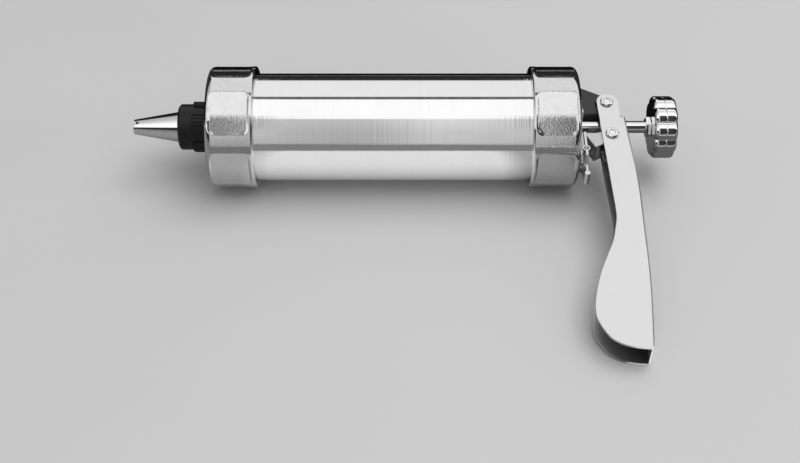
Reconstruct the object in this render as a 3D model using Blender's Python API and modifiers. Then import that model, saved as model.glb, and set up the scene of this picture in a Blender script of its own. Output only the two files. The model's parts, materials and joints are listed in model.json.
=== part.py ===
# Cookie press: a steel barrel between two screw collars, with a nozzle in front and a lever-driven
# ratchet rod behind. Metres, +Z up. The press lies on a table, on both collars and the lever's tip.
#
# Most pieces are drawn in the press frame: X runs along the barrel from the nozzle to the knob, with
# zero at the rear collar's end face; Y runs from the lever's tip up to its pivot; Z is across the
# lever. The empty press_frame carries that frame and holds the roll and the height of the rest pose.

import math

import bmesh
import bpy
from mathutils import Matrix, Vector

# Clearances and overruns shared by all pieces, and the distance under which points are welded
FIT_GAP = 0.0003
CUT_OVERRUN = 0.002
MERGE_DISTANCE = 0.000001

# Body: length between the collars' outer faces, and the tube
BODY_LENGTH = 0.1829
TUBE_RADIUS = 0.0268
TUBE_WALL = 0.0010

# Collars: cast screw rings with six flats, and a lip that reaches in over the tube's end
COLLAR_WALL = 0.0033
COLLAR_LENGTH = 0.0234
COLLAR_LIP = 0.0030
COLLAR_FLATS = 6
COLLAR_FLAT_DEPTH = 0.0018
COLLAR_TURN_DEG = -1
COLLAR_RIM = 0.0021
COLLAR_NOSE_ROUND = 0.0032
COLLAR_BEVEL = 0.0010
COLLAR_PANEL_ROUND = 0.0030
FRONT_LIP_REACH = 0.0040
REAR_LIP_REACH = 0.0020

# Nozzle adapter: a disc in the front collar with a threaded spout
ADAPTER_FLANGE = 0.0020
SPOUT_RADIUS = 0.0088
SPOUT_WALL = 0.0018
SPOUT_FILLET = 0.0030

# Coupling nut: black plastic, a smooth ring with ribbed grip pads towards the collar
NUT_LENGTH = 0.0158
NUT_RADIUS = 0.01145
NUT_FLANGE_RADIUS = 0.01245
NUT_FLANGE = 0.0009
NUT_FLARE = 0.0012
NUT_LIP = 0.0020
NUT_CHAMFER = 0.0010
NUT_PADS = 5
NUT_PAD_LENGTH = 0.0082
NUT_PAD_RADIUS = 0.01275
NUT_PAD_HALF_DEG = 22.5
NUT_PAD_FIRST_DEG = 124.5
NUT_PAD_BOW = 0.0140
NUT_PAD_RIBS = 6
NUT_RIB_DEPTH = 0.0005

# Nozzle: a steel cone with a flanged base and a leaf mouth, notched on two sides
NOZZLE_VISIBLE_LENGTH = 0.0231
NOZZLE_THROAT_RADIUS = 0.0077
NOZZLE_TIP_RADIUS = 0.0037
NOZZLE_WALL = 0.0006
NOZZLE_FLANGE = 0.0008
NOZZLE_NOTCH_DEPTH = 0.0034
NOZZLE_NOTCH_WIDTH = 0.0034
NOZZLE_NOTCH_TURN_DEG = 13

# Piston, its seal, washer and screw
PISTON_SETBACK = 0.0158
PISTON_LENGTH = 0.0140
PISTON_FACE = 0.0030
PISTON_SKIRT = 0.0030
PISTON_HUB_RADIUS = 0.0065
PISTON_GROOVE_WIDTH = 0.0032
PISTON_GROOVE_DEPTH = 0.0020
PISTON_BORE_RADIUS = 0.0024
PISTON_ROUND = 0.0010
SEAL_STAND = 0.0002
WASHER_RADIUS = 0.0055
WASHER_THICKNESS = 0.0010
PISTON_SCREW_HEAD_RADIUS = 0.0045
PISTON_SCREW_HEAD = 0.0022
PISTON_SCREW_REACH = 0.0100
PISTON_SCREW_SLOT = 0.0010

# Push rod with ratchet teeth along one side
ROD_RADIUS = 0.0030
ROD_CHAMFER = 0.0004
TOOTH_PITCH = 0.0036
TOOTH_DEPTH = 0.0011
TOOTH_SLOPE_SHARE = 0.88
TOOTH_START = 0.0120
TOOTH_END_MARGIN = 0.0060

# Locknut and knob on the rod's rear end
KNOB_STANDOFF = 0.0354
LOCKNUT_RADIUS = 0.0052
LOCKNUT_THICKNESS = 0.0022
KNOB_RADIUS = 0.0156
KNOB_THICKNESS = 0.0114
KNOB_LOBES = 10
KNOB_LOBE_RADIUS = 0.0054
KNOB_EDGE_ROUND = 0.0022
KNOB_DOME_RADIUS = 0.0105
KNOB_DOME_HEIGHT = 0.0016
KNOB_HUB_DEPTH = 0.0100

# Rear plate: stepped disc behind the tube, with a guide bush for the rod
REAR_FLANGE = 0.0020
BUSH_RADIUS = 0.0047
BUSH_FLANGE_RADIUS = 0.0072
BUSH_FLANGE = 0.0015
PIN_LUG_REACH = 0.0048
PIN_LUG_HEIGHT = 0.0032
PIN_LUG_WIDTH = 0.0016
PIN_LUG_SPREAD = 0.0100

# Bracket: dark moulded ear that carries the lever
BRACKET_BASE = 0.0015
BRACKET_WING_SPAN = 0.0290
BRACKET_WING_HEIGHT = 0.0130
BRACKET_EAR_WIDTH = 0.0094
BRACKET_EAR_OVERLAP = 0.0006
BRACKET_EAR_FLOOR = 0.0039
BRACKET_EYE_RADIUS = 0.0053
SPRING_POCKET_RADIUS = 0.0056
SPRING_POCKET_DEPTH = 0.0031
BRACKET_EDGE_CHAMFER = 0.0005
SCREW_INSET = 0.0045
SCREW_RADIUS = 0.0016
SCREW_HEAD_RADIUS = 0.0029
SCREW_HEAD = 0.0010
SCREW_SLOT = 0.0007

# Lever: a pressed channel, open towards the barrel
PIVOT_SETBACK = 0.0163
PIVOT_RISE = 0.0109
LEVER_LENGTH = 0.1503
LEVER_PADDLE_WIDTH = 0.0260
LEVER_EYE_RADIUS = 0.0054
LEVER_EYE_OFFSET = 0.0004
LEVER_WIDTH = 0.0134
LEVER_SHEET = 0.0011
LEVER_BEND_RADIUS = 0.0010
WEB_REACH_SHARE = 0.22
ROD_SLOT_GAP = 0.0008

# Front and rear edges of the lever's side: how far down its length, and how far behind the pivot
# in paddle widths
LEVER_FRONT_SHARES = (
    (0.005, -0.190), (0.078, -0.176), (0.166, -0.160), (0.302, -0.131), (0.409, -0.111),
    (0.461, -0.100), (0.508, -0.108), (0.558, -0.165), (0.602, -0.226), (0.665, -0.375),
    (0.732, -0.521), (0.814, -0.643), (0.879, -0.673), (0.916, -0.612),
)
LEVER_TIP_SHARES = (
    (0.940, -0.545), (0.963, -0.454), (0.980, -0.320), (0.989, -0.199), (0.996, 0.000), (0.999, 0.182),
)
LEVER_REAR_SHARES = (
    (0.993, 0.236), (0.900, 0.286), (0.787, 0.338), (0.659, 0.372), (0.535, 0.386), (0.399, 0.403),
    (0.302, 0.395), (0.238, 0.374), (0.126, 0.338), (0.064, 0.319),
)
LEVER_STEP_SHARES = ((0.063, 0.245), (0.056, 0.231), (0.030, 0.228), (0.005, 0.224))

# Rivets of the lever
RIVET_RADIUS = 0.0020
RIVET_HEAD_RADIUS = 0.0033
RIVET_HEAD = 0.0011
RIVET_DIMPLE_RADIUS = 0.0015
RIVET_DIMPLE = 0.0004
PAWL_PIVOT_DROP = 0.0218
PAWL_PIVOT_SETBACK = 0.0006

# Drive pawl: a channel folded like the lever, with its nose in front and its eyes on the pawl rivet
PAWL_LENGTH = 0.0128
PAWL_DROP = 0.0080
PAWL_SHEET = 0.0010
PAWL_WIDTH = 0.0106
PAWL_EYE_RADIUS = 0.0036
PAWL_ROD_GAP = 0.0008
PAWL_TOOTH_THICKNESS = 0.0016

# Side outline: behind the pawl pivot in pawl lengths, above it in pawl drops
PAWL_SHARES = ((-0.375, -0.710), (-0.672, -1.000), (-1.000, 0.010))
PAWL_TOOTH_SHARE = -0.270

# Springs
PAWL_SPRING_RADIUS = 0.0026
PAWL_SPRING_WIRE = 0.0008
PAWL_SPRING_TURNS = 6
PAWL_SPRING_DROP = 0.0091
PAWL_SPRING_START = 0.0056
LEVER_SPRING_RADIUS = 0.0035
LEVER_SPRING_WIRE = 0.0006
LEVER_SPRING_TURNS = 1.5
LEVER_SPRING_PITCH = 0.00115
LEVER_SPRING_LEG = 0.0030
SPRING_STEPS = 10

# Release plate: a fork round the pawl's nose, a rolled eye for the pin and a thumb end
RELEASE_SETBACK = 0.0025
RELEASE_SHEET = 0.0012
RELEASE_PIN_INSET = 0.0026
RELEASE_TOP_DROP = 0.0115
RELEASE_THUMB_LENGTH = 0.0087
RELEASE_FORK_WIDTH = 0.0172
RELEASE_WINDOW_WIDTH = 0.0122
RELEASE_WINDOW_FLOOR = 0.0249
RELEASE_SHOULDER = 0.0268
RELEASE_THUMB_WIDTH = 0.0072
RELEASE_CORNER = 0.0020
RELEASE_EYE_RADIUS = 0.0019
RELEASE_CURL_RADIUS = 0.0014
RELEASE_PIN_RADIUS = 0.0009

# Facets round the turned pieces
BODY_FACETS = 48
SMALL_FACETS = 20
FINE_FACETS = 16

# Places that follow from the sizes above
COLLAR_BORE_RADIUS = TUBE_RADIUS + FIT_GAP
COLLAR_RADIUS = COLLAR_BORE_RADIUS + COLLAR_WALL
FRONT_OPENING_RADIUS = TUBE_RADIUS - FRONT_LIP_REACH
REAR_OPENING_RADIUS = TUBE_RADIUS - REAR_LIP_REACH
CHAMBER_RADIUS = TUBE_RADIUS - TUBE_WALL
BRACKET_EAR_TOP = REAR_OPENING_RADIUS + BRACKET_EAR_OVERLAP
SCREW_SPACING = BRACKET_WING_SPAN - 2 * SCREW_INSET
FRONT_FACE = -BODY_LENGTH
SPOUT_LENGTH = NUT_LENGTH - NUT_LIP - FIT_GAP - NOZZLE_FLANGE - FIT_GAP
TUBE_FRONT = FRONT_FACE + COLLAR_LIP + FIT_GAP + ADAPTER_FLANGE + FIT_GAP
TUBE_REAR = -COLLAR_LIP - FIT_GAP - REAR_FLANGE - FIT_GAP
PISTON_FRONT = FRONT_FACE + PISTON_SETBACK
PISTON_REAR = PISTON_FRONT + PISTON_LENGTH
ROD_FRONT = PISTON_REAR + FIT_GAP + WASHER_THICKNESS + FIT_GAP
KNOB_FRONT = KNOB_STANDOFF + LOCKNUT_THICKNESS + FIT_GAP
ROD_REAR = KNOB_FRONT + KNOB_HUB_DEPTH - FIT_GAP
LEVER_PIVOT = Vector((PIVOT_SETBACK, PIVOT_RISE, 0))
PAWL_PIVOT = LEVER_PIVOT + Vector((PAWL_PIVOT_SETBACK, -PAWL_PIVOT_DROP, 0))
RELEASE_TIP_DROP = RELEASE_SHOULDER + RELEASE_THUMB_LENGTH
RELEASE_PIVOT = Vector((RELEASE_SETBACK + RELEASE_SHEET / 2, RELEASE_PIN_INSET - REAR_OPENING_RADIUS, 0))
LEVER_INNER_WIDTH = LEVER_WIDTH - 2 * LEVER_SHEET


# Scene, collections and materials


def clear_scene():
    for old in list(bpy.data.objects):
        bpy.data.objects.remove(old, do_unlink=True)
    for old in list(bpy.data.collections):
        bpy.data.collections.remove(old)


def new_collection(name):
    collection = bpy.data.collections.new(name)
    bpy.context.scene.collection.children.link(collection)
    return collection


def make_material(name, colour, metallic, roughness):
    material = bpy.data.materials.new(name)
    material.use_nodes = True
    shader = material.node_tree.nodes["Principled BSDF"]
    shader.inputs["Base Color"].default_value = (*colour, 1)
    shader.inputs["Metallic"].default_value = metallic
    shader.inputs["Roughness"].default_value = roughness
    return material


clear_scene()
PARTS = new_collection("cookie_press")
CUTTERS = new_collection("cutters")

BRUSHED_TUBE = make_material("brushed_tube", (0.80, 0.80, 0.80), 1, 0.22)
CAST_POLISH = make_material("cast_polish", (0.78, 0.78, 0.78), 1, 0.30)
CHROME = make_material("chrome", (0.86, 0.86, 0.87), 1, 0.06)
LEVER_STEEL = make_material("lever_steel", (0.78, 0.78, 0.78), 1, 0.32)
STAMPED_STEEL = make_material("stamped_steel", (0.66, 0.66, 0.66), 1, 0.35)
SPRING_STEEL = make_material("spring_steel", (0.55, 0.55, 0.55), 1, 0.30)
BLACK_PLASTIC = make_material("black_plastic", (0.025, 0.025, 0.025), 0, 0.42)
DARK_MOULDING = make_material("dark_moulding", (0.055, 0.055, 0.055), 0, 0.50)
PALE_PLASTIC = make_material("pale_plastic", (0.75, 0.75, 0.72), 0, 0.45)
SOFT_SEAL = make_material("soft_seal", (0.35, 0.35, 0.35), 0, 0.60)


# Object helpers


def add_empty(name, location, parent=None):
    empty = bpy.data.objects.new(name, None)
    empty.empty_display_size = COLLAR_RADIUS
    PARTS.objects.link(empty)
    empty.parent = parent
    offset = parent["axis_place"] if parent else (0, 0, 0)
    empty["axis_place"] = tuple(location)
    empty.location = Vector(location) - Vector(offset)
    return empty


def add_object(name, mesh, material, parent, cutter=False):
    """Links a mesh drawn in the press frame under an empty that may stand away from its origin."""
    thing = bpy.data.objects.new(name, mesh)
    (CUTTERS if cutter else PARTS).objects.link(thing)
    thing.parent = parent
    thing.location = -Vector(parent["axis_place"])
    if cutter:
        thing.hide_render = True
        thing.display_type = "WIRE"
    else:
        mesh.materials.append(material)
    return thing


def shade_round(mesh, angle_deg=35):
    mesh.shade_smooth()
    mesh.set_sharp_from_angle(angle=math.radians(angle_deg))


def combine(target, other, operation):
    modifier = target.modifiers.new(operation.lower(), "BOOLEAN")
    modifier.operation = operation
    modifier.solver = "EXACT"
    modifier.object = other
    return target


# Turned shapes


def arc(centre, radius, start_deg, end_deg, steps):
    points = []
    for step in range(steps + 1):
        angle = math.radians(start_deg + (end_deg - start_deg) * step / steps)
        points.append((centre[0] + radius * math.cos(angle), centre[1] + radius * math.sin(angle)))
    return points


def signed_area(points):
    total = 0
    for (x1, y1), (x2, y2) in zip(points, points[1:] + points[:1]):
        total += x1 * y2 - x2 * y1
    return total / 2


def turned(name, profile, material, parent, facets, cutter=False):
    """Turns a profile of (x, radius) points round the press axis with a Screw modifier."""
    closed = min(radius for _, radius in profile) > 0
    if signed_area(list(profile)) < 0:
        profile = list(reversed(profile))
    mesh = bpy.data.meshes.new(name)
    points = [(x, 0, radius) for x, radius in profile]
    edges = [(i, i + 1) for i in range(len(points) - 1)]
    if closed:
        edges.append((len(points) - 1, 0))
    mesh.from_pydata(points, edges, [])
    thing = add_object(name, mesh, material, parent, cutter)
    screw = thing.modifiers.new("turn", "SCREW")
    screw.axis = "X"
    screw.angle = 2 * math.pi
    screw.steps = facets
    screw.render_steps = facets
    screw.use_merge_vertices = True
    screw.merge_threshold = MERGE_DISTANCE
    screw.use_smooth_shade = True
    return thing


def settle(thing):
    """Applies an object's modifiers, so that its shading can be set and it can be moved as a mesh."""
    graph = bpy.context.evaluated_depsgraph_get()
    mesh = bpy.data.meshes.new_from_object(thing.evaluated_get(graph))
    thing.modifiers.clear()
    thing.data = mesh
    shade_round(mesh)
    return thing


def move_axis(thing, centre, direction):
    """Takes a piece turned round the press axis to another axis, given by a point and a direction."""
    turn = Vector((1, 0, 0)).rotation_difference(Vector(direction)).to_matrix().to_4x4()
    thing.data.transform(Matrix.Translation(centre) @ turn)
    return thing


# Flat shapes


def is_rim(edge):
    """True for an edge between a flat face of the sheet and its side wall."""
    normals = [abs(face.normal.z) for face in edge.link_faces]
    return len(normals) == 2 and max(normals) > 0.9 and min(normals) < 0.1


def outline_mesh(name, loops, thickness, bevel=0, segments=2, chosen=is_rim):
    """Fills a flat outline with its holes, gives it thickness along Z and welds it to one mesh."""
    curve = bpy.data.curves.new(name, "CURVE")
    curve.dimensions = "2D"
    curve.fill_mode = "BOTH"
    curve.extrude = thickness / 2
    for loop in loops:
        spline = curve.splines.new("POLY")
        spline.points.add(len(loop) - 1)
        for point, (x, y) in zip(spline.points, loop):
            point.co = (x, y, 0, 1)
        spline.use_cyclic_u = True
    carrier = bpy.data.objects.new(name, curve)
    CUTTERS.objects.link(carrier)
    graph = bpy.context.evaluated_depsgraph_get()
    mesh = bpy.data.meshes.new_from_object(carrier.evaluated_get(graph))
    bpy.data.objects.remove(carrier, do_unlink=True)
    work = bmesh.new()
    work.from_mesh(mesh)
    bmesh.ops.remove_doubles(work, verts=work.verts, dist=MERGE_DISTANCE)
    bmesh.ops.dissolve_limit(work, angle_limit=math.radians(1), verts=work.verts, edges=work.edges)
    work.normal_update()
    if bevel:
        edges = [edge for edge in work.edges if chosen(edge)]
        bmesh.ops.bevel(
            work, geom=edges, offset=bevel, segments=segments, profile=0.5, affect="EDGES")
    bmesh.ops.recalc_face_normals(work, faces=work.faces)
    wide = [face for face in work.faces if len(face.verts) > 4]
    bmesh.ops.triangulate(work, faces=wide)
    work.to_mesh(mesh)
    work.free()
    return mesh


def facing_x(mesh, x_middle):
    """Turns a sheet drawn flat so that its outline lies in Y and Z, at the given X."""
    turn = Matrix(((0, 0, 1, 0), (1, 0, 0, 0), (0, 1, 0, 0), (0, 0, 0, 1)))
    mesh.transform(Matrix.Translation((x_middle, 0, 0)) @ turn)
    return mesh


def at_z(mesh, z_middle):
    mesh.transform(Matrix.Translation((0, 0, z_middle)))
    return mesh


def circle(centre, radius, facets=FINE_FACETS):
    return arc(centre, radius, 0, 360 - 360 / facets, facets - 1)


def rounded_box(x_low, x_high, y_low, y_high, radius, steps=4):
    loop = arc((x_high - radius, y_high - radius), radius, 0, 90, steps)
    loop += arc((x_low + radius, y_high - radius), radius, 90, 180, steps)
    loop += arc((x_low + radius, y_low + radius), radius, 180, 270, steps)
    loop += arc((x_high - radius, y_low + radius), radius, 270, 360, steps)
    return loop


def smooth_line(points, steps):
    """A smooth line through the points, with the given number of steps between neighbours."""
    line = []
    for i in range(len(points) - 1):
        before = points[max(i - 1, 0)]
        start, end = points[i], points[i + 1]
        after = points[min(i + 2, len(points) - 1)]
        for step in range(steps):
            t = step / steps
            line.append(tuple(
                0.5 * (2 * b + (c - a) * t + (2 * a - 5 * b + 4 * c - d) * t * t
                       + (3 * b - a - 3 * c + d) * t ** 3)
                for a, b, c, d in zip(before, start, end, after)))
    line.append(tuple(points[-1]))
    return line


# Coils


def wire_mesh(name, points, wire):
    curve = bpy.data.curves.new(name, "CURVE")
    curve.dimensions = "3D"
    curve.bevel_depth = wire / 2
    curve.bevel_resolution = 1
    curve.use_fill_caps = True
    spline = curve.splines.new("POLY")
    spline.points.add(len(points) - 1)
    for target, point in zip(spline.points, points):
        target.co = (*point, 1)
    carrier = bpy.data.objects.new(name, curve)
    CUTTERS.objects.link(carrier)
    graph = bpy.context.evaluated_depsgraph_get()
    mesh = bpy.data.meshes.new_from_object(carrier.evaluated_get(graph))
    bpy.data.objects.remove(carrier, do_unlink=True)
    work = bmesh.new()
    work.from_mesh(mesh)
    bmesh.ops.remove_doubles(work, verts=work.verts, dist=MERGE_DISTANCE)
    bmesh.ops.recalc_face_normals(work, faces=work.faces)
    work.to_mesh(mesh)
    work.free()
    shade_round(mesh, 60)
    return mesh


def least_gap(points, wire, steps):
    """Least gap of a coil to itself, between points more than half a turn apart."""
    gap = math.inf
    for i, first in enumerate(points):
        for second in points[i + steps // 2 + 2:]:
            gap = min(gap, (Vector(first) - Vector(second)).length - wire)
    return gap


def report_gap(name, points, wire):
    print(name, "least gap to itself", round(least_gap(points, wire, SPRING_STEPS) * 1000, 3), "mm")


# Barrel and collars


def collar(name, opening_radius, mirrored, parent):
    """A screw ring: round nose, six flats between two rims, an end lip and a bore for the tube."""
    nose = COLLAR_NOSE_ROUND
    profile = arc((nose, COLLAR_RADIUS - nose), nose, 180, 90, 4)
    profile += [
        (COLLAR_LENGTH - COLLAR_BEVEL, COLLAR_RADIUS),
        (COLLAR_LENGTH, COLLAR_RADIUS - COLLAR_BEVEL),
        (COLLAR_LENGTH, COLLAR_BORE_RADIUS),
        (COLLAR_LIP, COLLAR_BORE_RADIUS),
        (COLLAR_LIP, opening_radius),
        (0, opening_radius),
    ]
    side = -1 if mirrored else 1
    end_face = 0 if mirrored else FRONT_FACE
    profile = [(end_face + side * x, radius) for x, radius in profile]
    ring = turned(name, profile, CAST_POLISH, parent, BODY_FACETS)
    x_ends = [end_face + side * COLLAR_RIM, end_face + side * (COLLAR_LENGTH - COLLAR_RIM)]
    combine(ring, flats_cutter(name + "_flats", min(x_ends), max(x_ends), parent), "DIFFERENCE")
    return ring


def flats_cutter(name, x_low, x_high, parent):
    """Six rounded blocks round the axis; each planes one flat between the rims."""
    apothem = COLLAR_RADIUS - COLLAR_FLAT_DEPTH
    half_chord = math.sqrt(COLLAR_RADIUS ** 2 - apothem ** 2)
    depth = COLLAR_FLAT_DEPTH + CUT_OVERRUN
    work = bmesh.new()
    for number in range(COLLAR_FLATS):
        loop = rounded_box(x_low, x_high, -half_chord, half_chord, COLLAR_PANEL_ROUND, 3)
        block = outline_mesh("block", [loop], depth)
        lift = Matrix.Translation((0, 0, apothem + depth / 2))
        turn_deg = 90 - COLLAR_TURN_DEG + number * 360 / COLLAR_FLATS
        block.transform(Matrix.Rotation(math.radians(turn_deg), 4, "X") @ lift)
        work.from_mesh(block)
        bpy.data.meshes.remove(block)
    mesh = bpy.data.meshes.new(name)
    work.to_mesh(mesh)
    work.free()
    return add_object(name, mesh, None, parent, cutter=True)


def barrel_tube(parent):
    profile = [
        (TUBE_FRONT, TUBE_RADIUS), (TUBE_REAR, TUBE_RADIUS),
        (TUBE_REAR, CHAMBER_RADIUS), (TUBE_FRONT, CHAMBER_RADIUS),
    ]
    return turned("barrel_tube", profile, BRUSHED_TUBE, parent, BODY_FACETS)


# Nozzle end


def nozzle_adapter(parent):
    flange_front = FRONT_FACE + COLLAR_LIP + FIT_GAP
    boss_radius = FRONT_OPENING_RADIUS - FIT_GAP
    bore = SPOUT_RADIUS - SPOUT_WALL
    rear = flange_front + ADAPTER_FLANGE
    fillet = SPOUT_FILLET
    profile = [
        (FRONT_FACE - SPOUT_LENGTH, SPOUT_RADIUS),
        (FRONT_FACE, SPOUT_RADIUS),
        (FRONT_FACE, boss_radius),
        (flange_front, boss_radius),
        (flange_front, TUBE_RADIUS),
        (rear, TUBE_RADIUS),
    ]
    profile += arc((rear - fillet, bore + fillet), fillet, 0, -90, 4)
    profile.append((FRONT_FACE - SPOUT_LENGTH, bore))
    return turned("nozzle_adapter", profile, CAST_POLISH, parent, BODY_FACETS)


def coupling_nut(parent):
    rear = FRONT_FACE - FIT_GAP
    front = FRONT_FACE - NUT_LENGTH
    bore = SPOUT_RADIUS + FIT_GAP
    mouth = NOZZLE_THROAT_RADIUS + FIT_GAP
    flange_front = rear - NUT_FLANGE
    profile = [
        (front, mouth),
        (front, NUT_RADIUS - NUT_CHAMFER),
        (front + NUT_CHAMFER, NUT_RADIUS),
        (flange_front - NUT_FLARE, NUT_RADIUS),
        (flange_front, NUT_FLANGE_RADIUS),
        (rear, NUT_FLANGE_RADIUS),
        (rear, bore),
        (front + NUT_LIP, bore),
        (front + NUT_LIP, mouth),
    ]
    nut = turned("coupling_nut", profile, BLACK_PLASTIC, parent, BODY_FACETS)
    return combine(nut, grip_pads(rear - NUT_FLANGE / 2, bore, parent), "UNION")


def grip_pads(x_rear, bore, parent):
    """Ribbed pads round the nut, each with a bowed front edge: blocks met with a ribbed ring."""
    base = (bore + NUT_RADIUS) / 2
    half = NUT_PAD_RADIUS * math.tan(math.radians(NUT_PAD_HALF_DEG))
    bow = math.degrees(math.asin(half / NUT_PAD_BOW))
    front = x_rear - NUT_PAD_LENGTH
    work = bmesh.new()
    for number in range(NUT_PADS):
        loop = arc((front + NUT_PAD_BOW, 0), NUT_PAD_BOW, 180 - bow, 180 + bow, 6)
        loop += [(x_rear, -half), (x_rear, half)]
        height = 2 * (NUT_PAD_RADIUS - base)
        pad = outline_mesh("pad", [loop], height)
        lift = Matrix.Translation((0, 0, base + height / 2))
        turn_deg = NUT_PAD_FIRST_DEG - 90 + number * 360 / NUT_PADS
        pad.transform(Matrix.Rotation(math.radians(turn_deg), 4, "X") @ lift)
        work.from_mesh(pad)
        bpy.data.meshes.remove(pad)
    mesh = bpy.data.meshes.new("grip_pads")
    work.to_mesh(mesh)
    work.free()
    pads = add_object("grip_pads", mesh, None, parent, cutter=True)
    ring_length = 2 * NUT_PAD_LENGTH
    hole = circle((0, 0), (bore + base) / 2, BODY_FACETS)
    ring = outline_mesh("pad_ring", [pad_ring_loop(base), hole], ring_length)
    facing_x(ring, x_rear)
    return combine(pads, add_object("pad_ring", ring, None, parent, cutter=True), "INTERSECT")


def pad_ring_loop(base):
    """Outline of the ribs on every pad, with the ring between the pads kept inside the nut."""
    loop = []
    tracks = 2 * NUT_PAD_RIBS - 1
    width = 2 * NUT_PAD_HALF_DEG / tracks
    for number in range(NUT_PADS):
        middle = NUT_PAD_FIRST_DEG + number * 360 / NUT_PADS
        start = middle - NUT_PAD_HALF_DEG
        track_radii = [NUT_PAD_RADIUS - NUT_RIB_DEPTH * (track % 2) for track in range(tracks)]
        points = [(start, (base + NUT_RADIUS) / 2)]
        for track, radius in enumerate(track_radii):
            points += [(start + track * width, radius), (start + (track + 1) * width, radius)]
        points.append((start + tracks * width, (base + NUT_RADIUS) / 2))
        for angle_deg, radius in points:
            turn = math.radians(angle_deg)
            loop.append((radius * math.cos(turn), radius * math.sin(turn)))
    return loop


def nozzle(parent):
    base = FRONT_FACE - SPOUT_LENGTH - FIT_GAP
    throat = FRONT_FACE - NUT_LENGTH
    tip = throat - NOZZLE_VISIBLE_LENGTH
    slope = (NOZZLE_THROAT_RADIUS - NOZZLE_TIP_RADIUS) / NOZZLE_VISIBLE_LENGTH
    neck_front = base - NOZZLE_FLANGE
    neck_radius = NOZZLE_THROAT_RADIUS
    profile = [
        (tip, NOZZLE_TIP_RADIUS),
        (throat, NOZZLE_THROAT_RADIUS),
        (neck_front, neck_radius),
        (neck_front, SPOUT_RADIUS),
        (base, SPOUT_RADIUS),
        (base, neck_radius - NOZZLE_WALL),
        (throat, NOZZLE_THROAT_RADIUS - NOZZLE_WALL),
        (tip, NOZZLE_TIP_RADIUS - NOZZLE_WALL + slope * NOZZLE_WALL),
    ]
    cone = turned("nozzle", profile, CHROME, parent, 2 * SMALL_FACETS)
    return combine(cone, notch_cutter(tip, parent), "DIFFERENCE")


def notch_cutter(tip, parent):
    """A wedge across the nozzle's mouth that leaves two pointed lips."""
    mouth = tip - CUT_OVERRUN
    half = NOZZLE_NOTCH_WIDTH / 2 * (NOZZLE_NOTCH_DEPTH + CUT_OVERRUN) / NOZZLE_NOTCH_DEPTH
    loop = [(mouth, -half), (tip + NOZZLE_NOTCH_DEPTH, 0), (mouth, half)]
    mesh = outline_mesh("nozzle_notch", [loop], 2 * NOZZLE_THROAT_RADIUS + CUT_OVERRUN)
    mesh.transform(Matrix.Rotation(math.radians(NOZZLE_NOTCH_TURN_DEG), 4, "X"))
    return add_object("nozzle_notch", mesh, None, parent, cutter=True)


# Piston


def piston_head(parent):
    radius = CHAMBER_RADIUS - FIT_GAP
    groove_front = PISTON_FRONT + (PISTON_LENGTH - PISTON_GROOVE_WIDTH) / 2
    groove_rear = groove_front + PISTON_GROOVE_WIDTH
    groove_floor = radius - PISTON_GROOVE_DEPTH
    recess = PISTON_SCREW_HEAD + FIT_GAP
    recess_radius = PISTON_SCREW_HEAD_RADIUS + FIT_GAP
    skirt_inner = groove_floor - PISTON_SKIRT
    profile = [
        (PISTON_FRONT, recess_radius),
        (PISTON_FRONT, radius - PISTON_ROUND),
        (PISTON_FRONT + PISTON_ROUND, radius),
        (groove_front, radius),
        (groove_front, groove_floor),
        (groove_rear, groove_floor),
        (groove_rear, radius),
        (PISTON_REAR - PISTON_ROUND, radius),
        (PISTON_REAR, radius - PISTON_ROUND),
        (PISTON_REAR, skirt_inner),
        (PISTON_FRONT + PISTON_FACE, skirt_inner),
        (PISTON_FRONT + PISTON_FACE + recess, PISTON_HUB_RADIUS),
        (PISTON_REAR, PISTON_HUB_RADIUS),
        (PISTON_REAR, PISTON_BORE_RADIUS),
        (PISTON_FRONT + recess, PISTON_BORE_RADIUS),
        (PISTON_FRONT + recess, recess_radius),
    ]
    return turned("piston_head", profile, PALE_PLASTIC, parent, BODY_FACETS)


def piston_seal(parent):
    groove_middle = PISTON_FRONT + PISTON_LENGTH / 2
    outer = CHAMBER_RADIUS - SEAL_STAND
    inner = CHAMBER_RADIUS - FIT_GAP - PISTON_GROOVE_DEPTH + SEAL_STAND
    half = PISTON_GROOVE_WIDTH / 2 - FIT_GAP
    crown = SEAL_STAND
    profile = [
        (groove_middle - half, inner),
        (groove_middle - half, outer - crown),
        (groove_middle, outer),
        (groove_middle + half, outer - crown),
        (groove_middle + half, inner),
    ]
    return turned("piston_seal", profile, SOFT_SEAL, parent, BODY_FACETS)


def piston_washer(parent):
    front = PISTON_REAR + FIT_GAP
    rear = front + WASHER_THICKNESS
    profile = [
        (front, PISTON_BORE_RADIUS), (front, WASHER_RADIUS),
        (rear, WASHER_RADIUS), (rear, PISTON_BORE_RADIUS),
    ]
    return turned("piston_washer", profile, STAMPED_STEEL, parent, SMALL_FACETS)


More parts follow.
